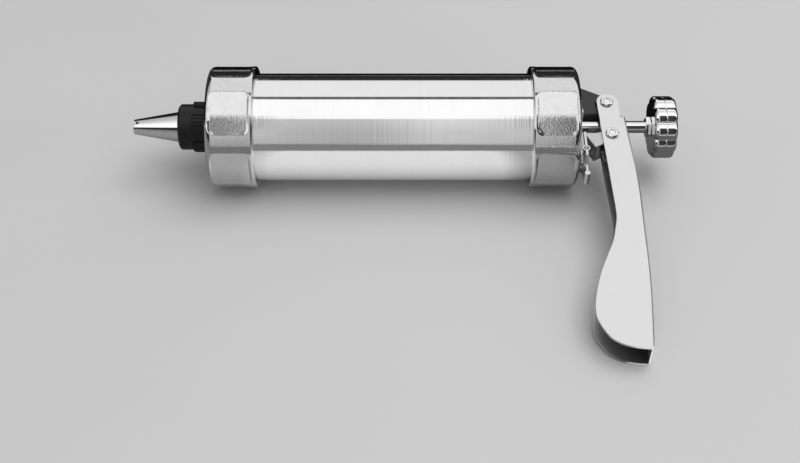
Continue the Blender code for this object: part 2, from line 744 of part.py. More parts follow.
def piston_screw(parent):
    head_front = PISTON_FRONT
    head_rear = head_front + PISTON_SCREW_HEAD
    shank = PISTON_BORE_RADIUS - FIT_GAP
    end = ROD_FRONT + PISTON_SCREW_REACH
    profile = [
        (head_front, 0),
        (head_front, PISTON_SCREW_HEAD_RADIUS - ROD_CHAMFER),
        (head_front + ROD_CHAMFER, PISTON_SCREW_HEAD_RADIUS),
        (head_rear, PISTON_SCREW_HEAD_RADIUS),
        (head_rear, shank),
        (end - ROD_CHAMFER, shank),
        (end, shank - ROD_CHAMFER),
        (end, 0),
    ]
    screw = turned("piston_screw", profile, STAMPED_STEEL, parent, SMALL_FACETS)
    slot_depth = PISTON_SCREW_HEAD / 2
    reach = PISTON_SCREW_HEAD_RADIUS + CUT_OVERRUN
    loop = [(-reach, -PISTON_SCREW_SLOT / 2), (reach, -PISTON_SCREW_SLOT / 2),
            (reach, PISTON_SCREW_SLOT / 2), (-reach, PISTON_SCREW_SLOT / 2)]
    mesh = outline_mesh("piston_screw_slot", [loop], 2 * slot_depth)
    facing_x(mesh, head_front)
    return combine(screw, add_object("piston_screw_slot", mesh, None, parent, cutter=True), "DIFFERENCE")


# Rod, locknut and knob


def push_rod(parent):
    bore = PISTON_BORE_RADIUS
    bore_end = ROD_FRONT + PISTON_SCREW_REACH + FIT_GAP
    profile = [
        (bore_end, 0),
        (bore_end, bore),
        (ROD_FRONT, bore),
        (ROD_FRONT, ROD_RADIUS - ROD_CHAMFER / 2),
        (ROD_FRONT + ROD_CHAMFER / 2, ROD_RADIUS),
        (ROD_REAR - ROD_CHAMFER, ROD_RADIUS),
        (ROD_REAR, ROD_RADIUS - ROD_CHAMFER),
        (ROD_REAR, 0),
    ]
    rod = turned("push_rod", profile, CHROME, parent, SMALL_FACETS)
    combine(rod, tooth_cutter(parent), "DIFFERENCE")
    return rod


def tooth_cutter(parent):
    """A comb that cuts ratchet teeth: steep faces look back to the lever, slopes run forward."""
    start = ROD_FRONT + TOOTH_START + PISTON_SCREW_REACH
    end = KNOB_STANDOFF - TOOTH_END_MARGIN
    count = int((end - start) / TOOTH_PITCH)
    crest = ROD_RADIUS
    root = ROD_RADIUS - TOOTH_DEPTH
    loop = [(start, crest + CUT_OVERRUN), (start, crest)]
    for number in range(count):
        x = start + number * TOOTH_PITCH
        if number:
            loop.append((x, crest))
        loop.append((x + TOOTH_PITCH * TOOTH_SLOPE_SHARE, root))
    loop.append((start + count * TOOTH_PITCH, crest))
    loop.append((start + count * TOOTH_PITCH, crest + CUT_OVERRUN))
    mesh = outline_mesh("tooth_cutter", [loop], 2 * ROD_RADIUS + CUT_OVERRUN)
    return add_object("tooth_cutter", mesh, None, parent, cutter=True)


def knob_locknut(parent):
    front = KNOB_STANDOFF
    rear = front + LOCKNUT_THICKNESS
    bore = ROD_RADIUS + FIT_GAP
    profile = [
        (front, bore),
        (front, LOCKNUT_RADIUS - ROD_CHAMFER),
        (front + ROD_CHAMFER, LOCKNUT_RADIUS),
        (rear, LOCKNUT_RADIUS),
        (rear, bore),
    ]
    return turned("knob_locknut", profile, CHROME, parent, SMALL_FACETS)


def knob_radius(angle_deg):
    """Outer radius of the lobed knob: each lobe is a round of its own."""
    lobe = 360 / KNOB_LOBES
    off = math.radians((angle_deg + lobe / 2) % lobe - lobe / 2)
    centre = KNOB_RADIUS - KNOB_LOBE_RADIUS
    return centre * math.cos(off) + math.sqrt(KNOB_LOBE_RADIUS ** 2 - (centre * math.sin(off)) ** 2)


def knob(parent):
    steps = 6 * KNOB_LOBES
    loop = []
    for step in range(steps):
        angle = 360 * step / steps
        radius = knob_radius(angle)
        turn = math.radians(angle)
        loop.append((radius * math.cos(turn), radius * math.sin(turn)))
    mesh = outline_mesh("knob", [loop], KNOB_THICKNESS, KNOB_EDGE_ROUND, 3)
    facing_x(mesh, KNOB_FRONT + KNOB_THICKNESS / 2)
    body = add_object("knob", mesh, CHROME, parent)
    rear = KNOB_FRONT + KNOB_THICKNESS
    sphere = (KNOB_DOME_RADIUS ** 2 + KNOB_DOME_HEIGHT ** 2) / (2 * KNOB_DOME_HEIGHT)
    start = math.degrees(math.asin(KNOB_DOME_RADIUS / sphere))
    dome = [(rear - KNOB_EDGE_ROUND, 0), (rear - KNOB_EDGE_ROUND, KNOB_DOME_RADIUS)]
    dome += arc((rear + KNOB_DOME_HEIGHT - sphere, 0), sphere, start, 0, 5)
    dome[-1] = (rear + KNOB_DOME_HEIGHT, 0)
    combine(body, turned("knob_dome", dome, None, parent, 2 * SMALL_FACETS, cutter=True), "UNION")
    bore = ROD_RADIUS + FIT_GAP
    hole = [
        (KNOB_FRONT - CUT_OVERRUN, 0), (KNOB_FRONT - CUT_OVERRUN, bore),
        (KNOB_FRONT + KNOB_HUB_DEPTH, bore), (KNOB_FRONT + KNOB_HUB_DEPTH, 0),
    ]
    combine(body, turned("knob_bore", hole, None, parent, SMALL_FACETS, cutter=True), "DIFFERENCE")
    return body


# Rear plate, bush, bracket and screws


def rear_plate(parent):
    flange_rear = -COLLAR_LIP - FIT_GAP
    flange_front = flange_rear - REAR_FLANGE
    bore = BUSH_RADIUS + FIT_GAP
    profile = [
        (flange_front, bore),
        (flange_front, TUBE_RADIUS),
        (flange_rear, TUBE_RADIUS),
        (flange_rear, REAR_OPENING_RADIUS - FIT_GAP),
        (0, REAR_OPENING_RADIUS - FIT_GAP),
        (0, bore),
    ]
    plate = turned("rear_plate", profile, CAST_POLISH, parent, BODY_FACETS)
    combine(plate, pin_lugs(parent), "UNION")
    combine(plate, screw_shanks("rear_plate_holes", SCREW_RADIUS + FIT_GAP, parent), "DIFFERENCE")
    return plate


def pin_lugs(parent):
    """Two small lugs on the plate's rear face that hold the release pin between the plate's eyes."""
    radius = PIN_LUG_HEIGHT / 2
    root = -REAR_FLANGE / 2
    loop = [(root, RELEASE_PIVOT.y - radius)]
    loop += arc((PIN_LUG_REACH - radius, RELEASE_PIVOT.y), radius, -90, 90, 6)
    loop.append((root, RELEASE_PIVOT.y + radius))
    hole = circle(RELEASE_PIVOT.xy, RELEASE_PIN_RADIUS + FIT_GAP)
    outer = PIN_LUG_SPREAD / 2
    spans = [(-outer, PIN_LUG_WIDTH - outer), (outer - PIN_LUG_WIDTH, outer)]
    return bars_along_z("pin_lugs", [loop, hole], spans, parent)


def bars_along_z(name, loops, spans, parent):
    """One outline drawn out between each pair of Z places, as a cutter for a Boolean."""
    work = bmesh.new()
    for low, high in spans:
        bar = at_z(outline_mesh(name, loops, high - low), (low + high) / 2)
        work.from_mesh(bar)
        bpy.data.meshes.remove(bar)
    mesh = bpy.data.meshes.new(name)
    work.to_mesh(mesh)
    work.free()
    return add_object(name, mesh, None, parent, cutter=True)


def screw_shanks(name, radius, parent):
    """Two rods along the screws' axes, as a cutter for their holes."""
    work = bmesh.new()
    front = -COLLAR_LIP - REAR_FLANGE - CUT_OVERRUN
    rear = FIT_GAP + BRACKET_BASE + CUT_OVERRUN
    for side in (-1, 1):
        shank = outline_mesh("shank", [circle((0, side * SCREW_SPACING / 2), radius)], rear - front)
        facing_x(shank, (front + rear) / 2)
        work.from_mesh(shank)
        bpy.data.meshes.remove(shank)
    mesh = bpy.data.meshes.new(name)
    work.to_mesh(mesh)
    work.free()
    return add_object(name, mesh, None, parent, cutter=True)


def guide_bush(parent):
    flange_rear = TUBE_REAR
    flange_front = flange_rear - BUSH_FLANGE
    bore = ROD_RADIUS + FIT_GAP
    profile = [
        (flange_front, bore),
        (flange_front, BUSH_FLANGE_RADIUS),
        (flange_rear, BUSH_FLANGE_RADIUS),
        (flange_rear, BUSH_RADIUS),
        (0, BUSH_RADIUS),
        (0, bore),
    ]
    return turned("guide_bush", profile, PALE_PLASTIC, parent, SMALL_FACETS)


def frame_bracket(parent):
    """Base across the rear plate with an ear above the rod; the ear ends in the lever's eye."""
    base_front = FIT_GAP
    base_rear = base_front + BRACKET_BASE
    wing = rounded_box(
        -BRACKET_WING_HEIGHT / 2, BRACKET_WING_HEIGHT / 2,
        -BRACKET_WING_SPAN / 2, BRACKET_WING_SPAN / 2, BRACKET_WING_HEIGHT / 2 - FIT_GAP, 5)
    hole = circle((0, 0), ROD_RADIUS + FIT_GAP, SMALL_FACETS)
    mesh = outline_mesh("frame_bracket", [wing, hole], BRACKET_BASE)
    facing_x(mesh, (base_front + base_rear) / 2)
    bracket = add_object("frame_bracket", mesh, DARK_MOULDING, parent)
    combine(bracket, bracket_ear(base_front + BRACKET_BASE / 2, parent), "UNION")
    combine(bracket, screw_shanks("bracket_holes", SCREW_RADIUS + FIT_GAP, parent), "DIFFERENCE")
    pocket_top = BRACKET_EAR_WIDTH / 2 + CUT_OVERRUN
    pocket_floor = BRACKET_EAR_WIDTH / 2 - SPRING_POCKET_DEPTH
    pocket = outline_mesh(
        "spring_pocket", [circle(LEVER_PIVOT.xy, SPRING_POCKET_RADIUS, SMALL_FACETS)],
        pocket_top - pocket_floor)
    at_z(pocket, (pocket_top + pocket_floor) / 2)
    combine(bracket, add_object("spring_pocket", pocket, None, parent, cutter=True), "DIFFERENCE")
    return bracket


def bracket_ear(front, parent):
    eye = LEVER_PIVOT.xy
    corner = Vector((front, BRACKET_EAR_TOP))
    away = eye - corner
    tangent = math.asin(BRACKET_EYE_RADIUS / away.length)
    heading = math.atan2(away.y, away.x) + tangent
    top_deg = math.degrees(heading) + 90
    loop = [(front, BRACKET_EAR_FLOOR)]
    loop += arc(eye, BRACKET_EYE_RADIUS, -90, top_deg, 10)
    loop.append(tuple(corner))
    hole = circle(eye, RIVET_RADIUS + FIT_GAP)
    mesh = outline_mesh("bracket_ear", [loop, hole], BRACKET_EAR_WIDTH, BRACKET_EDGE_CHAMFER, 1)
    return add_object("bracket_ear", mesh, None, parent, cutter=True)


def bracket_screw(name, side, parent):
    """A slotted screw through the bracket's base into the rear plate."""
    head_front = FIT_GAP + BRACKET_BASE + FIT_GAP
    tip = -COLLAR_LIP - REAR_FLANGE
    crown = SCREW_HEAD / 3
    profile = [
        (tip, 0), (tip, SCREW_RADIUS), (head_front, SCREW_RADIUS), (head_front, SCREW_HEAD_RADIUS),
        (head_front + crown, SCREW_HEAD_RADIUS),
        (head_front + SCREW_HEAD, SCREW_HEAD_RADIUS - crown), (head_front + SCREW_HEAD, 0),
    ]
    screw = turned(name, profile, STAMPED_STEEL, parent, FINE_FACETS)
    settle(screw)
    place = Vector((0, 0, side * SCREW_SPACING / 2))
    screw.data.transform(Matrix.Translation(place))
    reach = SCREW_HEAD_RADIUS + CUT_OVERRUN
    half = SCREW_SLOT / 2
    loop = [(-half, -reach), (half, -reach), (half, reach), (-half, reach)]
    slot = outline_mesh(name + "_slot", [loop], SCREW_HEAD)
    facing_x(slot, head_front + SCREW_HEAD)
    slot.transform(Matrix.Translation(place))
    return combine(screw, add_object(name + "_slot", slot, None, parent, cutter=True), "DIFFERENCE")


# Lever and rivets


def lever_points(shares):
    return [
        (LEVER_PIVOT.x + reach * LEVER_PADDLE_WIDTH, LEVER_PIVOT.y - drop * LEVER_LENGTH)
        for drop, reach in shares
    ]


def lever_rear_line():
    return smooth_line(lever_points(LEVER_REAR_SHARES), 2)


def web_outer_x(y):
    """Where the web's outer face crosses the given height."""
    line = lever_rear_line()
    for (x1, y1), (x2, y2) in zip(line, line[1:]):
        if y1 <= y <= y2:
            return x1 + (x2 - x1) * (y - y1) / (y2 - y1)
    return line[-1][0]


def lever_outline():
    front = smooth_line(lever_points(LEVER_FRONT_SHARES + LEVER_TIP_SHARES), 2)
    middle = LEVER_PIVOT.xy + Vector((LEVER_EYE_OFFSET, LEVER_EYE_OFFSET))
    eye = arc(middle, LEVER_EYE_RADIUS, 5, 172, 10)
    return eye + front + lever_rear_line() + lever_points(LEVER_STEP_SHARES)


def trigger_lever(parent):
    """Two cheeks and a web bent from one sheet: a solid side outline, hollowed from the front."""
    mesh = outline_mesh(
        "trigger_lever", [lever_outline()], LEVER_WIDTH, LEVER_BEND_RADIUS, 3, is_lever_bend)
    lever = add_object("trigger_lever", mesh, LEVER_STEEL, parent)
    combine(lever, channel_cutter(parent), "DIFFERENCE")
    combine(lever, rod_slot_cutter(parent), "DIFFERENCE")
    combine(lever, rivet_hole_cutter(parent), "DIFFERENCE")
    return lever


def is_lever_bend(edge):
    """True for the edges where the web turns into the cheeks, from the rod slot to the tip."""
    web = lever_points(LEVER_REAR_SHARES)
    middle = (edge.verts[0].co + edge.verts[1].co) / 2
    behind = middle.x > LEVER_PIVOT.x + LEVER_PADDLE_WIDTH * WEB_REACH_SHARE
    return is_rim(edge) and behind and web[0][1] - FIT_GAP < middle.y < web[-1][1] + FIT_GAP


def channel_cutter(parent):
    """The hollow between the cheeks: everything in front of the web's inner face."""
    line = lever_rear_line()
    inner = []
    for i, point in enumerate(line):
        before = Vector(line[max(i - 1, 0)])
        after = Vector(line[min(i + 1, len(line) - 1)])
        along = (after - before).normalized()
        inner.append(tuple(Vector(point) + Vector((-along.y, along.x)) * LEVER_SHEET))
    lowest = LEVER_PIVOT.y - LEVER_LENGTH - CUT_OVERRUN
    highest = LEVER_PIVOT.y + LEVER_EYE_RADIUS + CUT_OVERRUN
    front = LEVER_PIVOT.x - LEVER_PADDLE_WIDTH
    rear = LEVER_PIVOT.x + LEVER_EYE_RADIUS + CUT_OVERRUN
    step_y = lever_points(LEVER_STEP_SHARES)[1][1]
    loop = [(inner[0][0], lowest)] + inner
    loop += [(inner[-1][0], step_y), (rear, step_y), (rear, highest), (front, highest), (front, lowest)]
    mesh = outline_mesh("lever_channel", [loop], LEVER_INNER_WIDTH)
    return add_object("lever_channel", mesh, None, parent, cutter=True)


def rod_slot_cutter(parent):
    """Slot in the web's top edge for the rod."""
    gap = ROD_RADIUS + ROD_SLOT_GAP
    top = ROD_RADIUS + CUT_OVERRUN
    loop = arc((0, 0), gap, 180, 360, 8)
    loop += [(gap, top), (-gap, top)]
    depth = LEVER_PADDLE_WIDTH
    turned_loop = [(y, z) for z, y in loop]
    mesh = outline_mesh("rod_slot", [turned_loop], depth)
    facing_x(mesh, LEVER_PIVOT.x + depth / 2)
    return add_object("rod_slot", mesh, None, parent, cutter=True)


def rivet_hole_cutter(parent):
    reach = LEVER_WIDTH / 2 + CUT_OVERRUN
    upper = circle(LEVER_PIVOT.xy, RIVET_RADIUS + FIT_GAP)
    lower = circle(PAWL_PIVOT.xy, RIVET_RADIUS + FIT_GAP)
    return bars_along_z("rivet_holes", [upper, lower], [(-reach, reach)], parent)


def rivet(name, pivot, parent):
    """Shank between two low domed heads, each with a ring-shaped dimple from the setting tool."""
    face = LEVER_WIDTH / 2 + FIT_GAP
    top = face + RIVET_HEAD
    ridge = (RIVET_DIMPLE_RADIUS + RIVET_HEAD_RADIUS) / 2
    half = [
        (0, RIVET_RADIUS),
        (face, RIVET_RADIUS),
        (face, RIVET_HEAD_RADIUS),
        (face + RIVET_HEAD / 3, RIVET_HEAD_RADIUS),
        (top - RIVET_HEAD / 6, ridge + RIVET_DIMPLE / 2),
        (top, ridge - RIVET_DIMPLE / 2),
        (top - RIVET_DIMPLE, RIVET_DIMPLE_RADIUS / 2),
        (top - RIVET_DIMPLE, 0),
    ]
    profile = [(-x, radius) for x, radius in reversed(half[1:])] + half[1:]
    piece = turned(name, profile, CHROME, parent, SMALL_FACETS)
    settle(piece)
    return move_axis(piece, pivot, (0, 0, 1))


# Drive pawl


def drive_pawl(parent):
    """Two side walls joined by a web along the nose's lower front, and a bar with the tooth."""
    corners = [
        (PAWL_PIVOT.x + reach * PAWL_LENGTH, PAWL_PIVOT.y + rise * PAWL_DROP)
        for reach, rise in PAWL_SHARES
    ]
    hole = circle(PAWL_PIVOT.xy, RIVET_RADIUS + FIT_GAP)
    loop = arc(PAWL_PIVOT.xy, PAWL_EYE_RADIUS, 95, -110, 12) + corners
    mesh = outline_mesh("drive_pawl", [loop, hole], PAWL_WIDTH, PAWL_SHEET / 4, 1, is_nose_rim)
    pawl = add_object("drive_pawl", mesh, STAMPED_STEEL, parent)
    heel, tip = Vector(corners[1]), Vector(corners[2])
    web = (heel - tip).normalized()
    inward = Vector((-web.y, web.x))
    start = tip + inward * PAWL_SHEET - web * PAWL_LENGTH
    end = heel + inward * PAWL_SHEET + web * PAWL_LENGTH
    far = inward * 3 * PAWL_LENGTH
    hollow = outline_mesh(
        "pawl_hollow", [[start, end, end + far, start + far]], PAWL_WIDTH - 2 * PAWL_SHEET)
    combine(pawl, add_object("pawl_hollow", hollow, None, parent, cutter=True), "DIFFERENCE")
    combine(pawl, pawl_tooth(parent), "UNION")
    return pawl


def is_nose_rim(edge):
    """True for the pawl's outline edges in front of its eye."""
    front = PAWL_PIVOT.x - PAWL_EYE_RADIUS
    return is_rim(edge) and max(vertex.co.x for vertex in edge.verts) < front


def pawl_tooth(parent):
    """A bar between the side walls whose edge drops into the rod's teeth when the rod is turned."""
    x = PAWL_PIVOT.x + PAWL_TOOTH_SHARE * PAWL_LENGTH
    top = -ROD_RADIUS - PAWL_ROD_GAP
    foot = PAWL_PIVOT.y + PAWL_EYE_RADIUS / 2
    thick = PAWL_TOOTH_THICKNESS
    loop = [(x, top), (x - thick, top - thick), (x - thick, foot)]
    loop += [(x + thick, foot), (x + thick, top - thick)]
    mesh = outline_mesh("pawl_tooth", [loop], PAWL_WIDTH - PAWL_SHEET)
    return add_object("pawl_tooth", mesh, None, parent, cutter=True)


# Springs


def pawl_spring(parent):
    """Compression spring between the pawl's nose and the lever's web, along the rod."""
    y = PAWL_PIVOT.y - PAWL_SPRING_DROP
    wire = PAWL_SPRING_WIRE
    rear_x = web_outer_x(y + PAWL_SPRING_RADIUS)
    start = PAWL_PIVOT.x - PAWL_SPRING_START + wire
    end = rear_x - LEVER_SHEET - FIT_GAP - wire
    steps = PAWL_SPRING_TURNS * SPRING_STEPS
    points = [(start - wire, y, PAWL_SPRING_RADIUS)]
    for step in range(steps + 1):
        turn = 2 * math.pi * step / SPRING_STEPS
        x = start + (end - start) * step / steps
        points.append((x, y + PAWL_SPRING_RADIUS * math.sin(turn), PAWL_SPRING_RADIUS * math.cos(turn)))
    points.append((end + wire, y, PAWL_SPRING_RADIUS))
    report_gap("pawl_spring", points, wire)
    return add_object("pawl_spring", wire_mesh("pawl_spring", points, wire), SPRING_STEEL, parent)


def lever_spring(parent):
    """Torsion spring round the pivot rivet, in the ear's pocket, with two legs that point down."""
    wire = LEVER_SPRING_WIRE
    base = BRACKET_EAR_WIDTH / 2 - SPRING_POCKET_DEPTH + FIT_GAP + wire / 2
    radius = LEVER_SPRING_RADIUS
    steps = int(LEVER_SPRING_TURNS * SPRING_STEPS)
    points = [(LEVER_PIVOT.x - radius, LEVER_PIVOT.y - LEVER_SPRING_LEG, base)]
    for step in range(steps + 1):
        turn = math.pi - 2 * math.pi * step / SPRING_STEPS
        z = base + LEVER_SPRING_PITCH * step / SPRING_STEPS
        points.append((
            LEVER_PIVOT.x + radius * math.cos(turn), LEVER_PIVOT.y + radius * math.sin(turn), z))
    last = points[-1]
    points.append((last[0], last[1] - LEVER_SPRING_LEG, last[2]))
    report_gap("lever_spring", points, wire)
    return add_object("lever_spring", wire_mesh("lever_spring", points, wire), SPRING_STEEL, parent)


# Release plate


def release_plate(parent):
    """Fork round the pawl's nose, a rolled eye on the pin and a curled thumb end."""
    fork = RELEASE_FORK_WIDTH / 2
    window = RELEASE_WINDOW_WIDTH / 2
    thumb = RELEASE_THUMB_WIDTH / 2
    corner = RELEASE_CORNER
    top, floor, shoulder = -RELEASE_TOP_DROP, -RELEASE_WINDOW_FLOOR, -RELEASE_SHOULDER
    tip = -RELEASE_TIP_DROP + RELEASE_CURL_RADIUS
    loop = [(top, window), (top, fork), (shoulder, fork), (shoulder - corner, thumb), (tip, thumb)]
    loop += [(tip, -thumb), (shoulder - corner, -thumb), (shoulder, -fork), (top, -fork), (top, -window)]
    loop += arc((floor + corner, corner - window), corner, 270, 180, 4)
    loop += arc((floor + corner, window - corner), corner, 180, 90, 4)
    mesh = facing_x(outline_mesh("release_plate", [loop], RELEASE_SHEET), RELEASE_PIVOT.x)
    plate = add_object("release_plate", mesh, LEVER_STEEL, parent)
    eye_inner = PIN_LUG_SPREAD / 2 + FIT_GAP
    eyes = [(-fork, -eye_inner), (eye_inner, fork)]
    eye = circle(RELEASE_PIVOT.xy, RELEASE_EYE_RADIUS)
    combine(plate, bars_along_z("release_eyes", [eye], eyes, parent), "UNION")
    curl = circle((RELEASE_PIVOT.x, tip), RELEASE_CURL_RADIUS)
    combine(plate, bars_along_z("release_curl", [curl], [(-thumb, thumb)], parent), "UNION")
    bore = circle(RELEASE_PIVOT.xy, RELEASE_PIN_RADIUS + FIT_GAP)
    reach = fork + CUT_OVERRUN
    return combine(plate, bars_along_z("release_bore", [bore], [(-reach, reach)], parent), "DIFFERENCE")


def release_pin(parent):
    half = RELEASE_FORK_WIDTH / 2 + FIT_GAP
    end = RELEASE_PIN_RADIUS / 3
    profile = [
        (-half, 0), (-half, RELEASE_PIN_RADIUS - end), (end - half, RELEASE_PIN_RADIUS),
        (half - end, RELEASE_PIN_RADIUS), (half, RELEASE_PIN_RADIUS - end), (half, 0),
    ]
    pin = turned("release_pin", profile, STAMPED_STEEL, parent, FINE_FACETS)
    settle(pin)
    return move_axis(pin, RELEASE_PIVOT, (0, 0, 1))


# Assembly


def rest_roll():
    """Roll that lays the collars and the lever's lower tip on one level surface."""
    drop = LEVER_LENGTH - PIVOT_RISE
    reach = math.hypot(drop, LEVER_WIDTH / 2)
    return math.asin(COLLAR_RADIUS / reach) - math.atan2(LEVER_WIDTH / 2, drop)


def centre_on_floor(frame):
    """Moves the frame so that the whole press stands centred over the origin, on the floor."""
    graph = bpy.context.evaluated_depsgraph_get()
    graph.update()
    low = Vector((math.inf,) * 3)
    high = Vector((-math.inf,) * 3)
    for thing in PARTS.objects:
        if thing.type != "MESH":
            continue
        solid = thing.evaluated_get(graph)
        for vertex in solid.data.vertices:
            place = solid.matrix_world @ vertex.co
            low = Vector(map(min, low, place))
            high = Vector(map(max, high, place))
    frame.location.x -= (low.x + high.x) / 2
    frame.location.y -= (low.y + high.y) / 2
    frame.location.z -= low.z


def build():
    frame = add_empty("press_frame", (0, 0, 0))
    frame.rotation_euler.x = rest_roll()
    front_axis = add_empty("front_cap_axis", (FRONT_FACE, 0, 0), frame)
    nozzle_axis = add_empty("nozzle_axis", (FRONT_FACE - NUT_LENGTH, 0, 0), front_axis)
    piston_axis = add_empty("piston_axis", (PISTON_REAR, 0, 0), frame)
    knob_axis = add_empty("knob_axis", (KNOB_FRONT, 0, 0), piston_axis)
    lever_axis = add_empty("lever_axis", LEVER_PIVOT, frame)
    pawl_axis = add_empty("pawl_axis", PAWL_PIVOT, lever_axis)
    release_axis = add_empty("release_axis", RELEASE_PIVOT, frame)

    barrel_tube(frame)
    collar("rear_collar", REAR_OPENING_RADIUS, True, frame)
    rear_plate(frame)
    guide_bush(frame)
    frame_bracket(frame)
    bracket_screw("bracket_screw_upper", 1, frame)
    bracket_screw("bracket_screw_lower", -1, frame)
    rivet("lever_pivot_rivet", LEVER_PIVOT, frame)
    release_pin(frame)
    lever_spring(frame)

    collar("front_collar", FRONT_OPENING_RADIUS, False, front_axis)
    nozzle_adapter(front_axis)
    coupling_nut(nozzle_axis)
    nozzle(nozzle_axis)

    piston_head(piston_axis)
    piston_seal(piston_axis)
    piston_washer(piston_axis)
    push_rod(knob_axis)
    piston_screw(knob_axis)
    knob_locknut(knob_axis)
    knob(knob_axis)

    trigger_lever(lever_axis)
    rivet("pawl_rivet", PAWL_PIVOT, lever_axis)
    pawl_spring(lever_axis)
    drive_pawl(pawl_axis)
    release_plate(release_axis)
    centre_on_floor(frame)


build()
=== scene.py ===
# Looks of the cookie press: fine surfaces, materials, light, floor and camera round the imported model.
# Metres. Most pieces are drawn in the press frame: X runs along the barrel with zero at the rear
# collar's end face, Y from the lever's tip up to its pivot, and Z across the lever.

import json
import math

import bmesh
import bpy
from mathutils import Matrix, Vector

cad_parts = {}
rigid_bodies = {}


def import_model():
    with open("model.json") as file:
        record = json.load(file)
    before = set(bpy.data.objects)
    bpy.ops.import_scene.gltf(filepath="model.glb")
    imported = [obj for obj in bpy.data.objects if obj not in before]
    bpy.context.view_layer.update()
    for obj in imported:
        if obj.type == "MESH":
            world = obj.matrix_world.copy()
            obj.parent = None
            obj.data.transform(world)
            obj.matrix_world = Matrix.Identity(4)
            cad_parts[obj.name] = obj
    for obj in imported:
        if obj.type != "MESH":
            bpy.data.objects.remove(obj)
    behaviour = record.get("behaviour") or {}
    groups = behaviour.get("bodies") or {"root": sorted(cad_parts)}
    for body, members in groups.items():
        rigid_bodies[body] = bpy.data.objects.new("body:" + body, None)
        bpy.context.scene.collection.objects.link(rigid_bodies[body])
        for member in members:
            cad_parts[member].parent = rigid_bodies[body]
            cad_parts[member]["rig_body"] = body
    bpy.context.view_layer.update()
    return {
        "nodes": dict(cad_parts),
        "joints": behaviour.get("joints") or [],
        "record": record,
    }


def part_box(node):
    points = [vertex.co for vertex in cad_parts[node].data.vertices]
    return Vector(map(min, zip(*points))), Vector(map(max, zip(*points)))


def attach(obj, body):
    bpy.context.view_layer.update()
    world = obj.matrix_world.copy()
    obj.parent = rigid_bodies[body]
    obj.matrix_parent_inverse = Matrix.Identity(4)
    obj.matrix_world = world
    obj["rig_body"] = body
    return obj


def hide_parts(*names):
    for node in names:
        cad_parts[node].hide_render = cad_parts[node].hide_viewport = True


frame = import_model()

# Camera in the press frame, at the photograph's place and angle
CAMERA_PLACE = (-0.0881, -0.4632, 0.4791)
CAMERA_PITCH_DEG = 50.5
CAMERA_LENS_MM = 59.31
CAMERA_SENSOR_MM = 36

# Clearance, tube and collars. The round collars stay ROUND_SPARE inside the solids' own corners.
FIT_GAP = 0.0003
TUBE_WALL = 0.0010
TUBE_SEGMENTS = 256
COLLAR_LIP = 0.0030
COLLAR_FLATS = 6
COLLAR_FLAT_DEPTH = 0.0018
COLLAR_TURN_DEG = -1
COLLAR_RIM = 0.0021
COLLAR_CROWN = 0.0011
COLLAR_PANEL_STEP = 0.00025
COLLAR_NOSE = 0.0032
COLLAR_EDGE = 0.0009
COLLAR_PANEL_ROUND = 0.0030
COLLAR_STEP = 0.00028
ROUND_SPARE = 0.00003
COLLAR_SEGMENTS = 288
PANEL_EDGE = 0.0005
FRONT_LIP_REACH = 0.0040
REAR_LIP_REACH = 0.0020

# Coupling nut. Each grip pad is split into tracks; every second one is a groove between two ribs.
NUT_LIP = 0.0020
NUT_CHAMFER = 0.0010
NUT_FLARE = 0.0012
NUT_FLANGE = 0.0009
NUT_RADIUS = 0.01145
NUT_FLANGE_RADIUS = 0.01245
NUT_BORE = 0.0091
NUT_MOUTH = 0.0080
NUT_PADS = 5
NUT_PAD_LENGTH = 0.0082
NUT_PAD_HALF_DEG = 22.5
NUT_PAD_FIRST_DEG = 124.5
NUT_PAD_BOW = 0.0140
NUT_PAD_SIDE_DEG = 1.2
NUT_PAD_TRACKS = 11
NUT_GROOVE_FIRST = 1.5
NUT_GROOVE_SHARE = 0.62
NUT_GROOVE_EDGE = 0.24
NUT_RIB_DEPTH = 0.0005
NUT_STEP = 0.0002
NUT_SEGMENTS = 540

# Nozzle
NOZZLE_TIP_RADIUS = 0.0037
NOZZLE_WALL = 0.0006
NOZZLE_FLANGE = 0.0008
NOZZLE_NOTCH_DEPTH = 0.0034
NOZZLE_NOTCH_WIDTH = 0.0034
NOZZLE_NOTCH_TURN_DEG = 13
NOZZLE_SEGMENTS = 144

# Rod, locknut and knob
TOOTH_PITCH = 0.0036
TOOTH_DEPTH = 0.0011
TOOTH_SLOPE_SHARE = 0.88
TOOTH_FIRST = 0.0220
TOOTH_LAST = 0.0060
ROD_CHAMFER = 0.0004
ROD_BORE = 0.0024
ROD_BORE_DEPTH = 0.0103
LOCKNUT_SIDES = 6
KNOB_LOBES = 10
KNOB_LOBE_RADIUS = 0.0054
KNOB_THICKNESS = 0.0114
KNOB_EDGE = 0.0022
KNOB_DOME_RADIUS = 0.0105
KNOB_GROOVE_WIDTH = 0.0007
KNOB_GROOVE_DEPTH = 0.0002
KNOB_SEGMENTS = 240
KNOB_FACE_STEPS = 12
KNOB_EDGE_STEPS = 8
KNOB_BRIM_STEPS = 4

# Rivets
RIVET_RADIUS = 0.0020
RIVET_HEAD_RADIUS = 0.0033
RIVET_HEAD = 0.0011
RIVET_DIMPLE_RADIUS = 0.0015
RIVET_DIMPLE = 0.0006
RIVET_LIP = 0.00025
RIVET_BRIM_SHARE = 0.45
RIVET_SLOPE_SHARE = 0.5

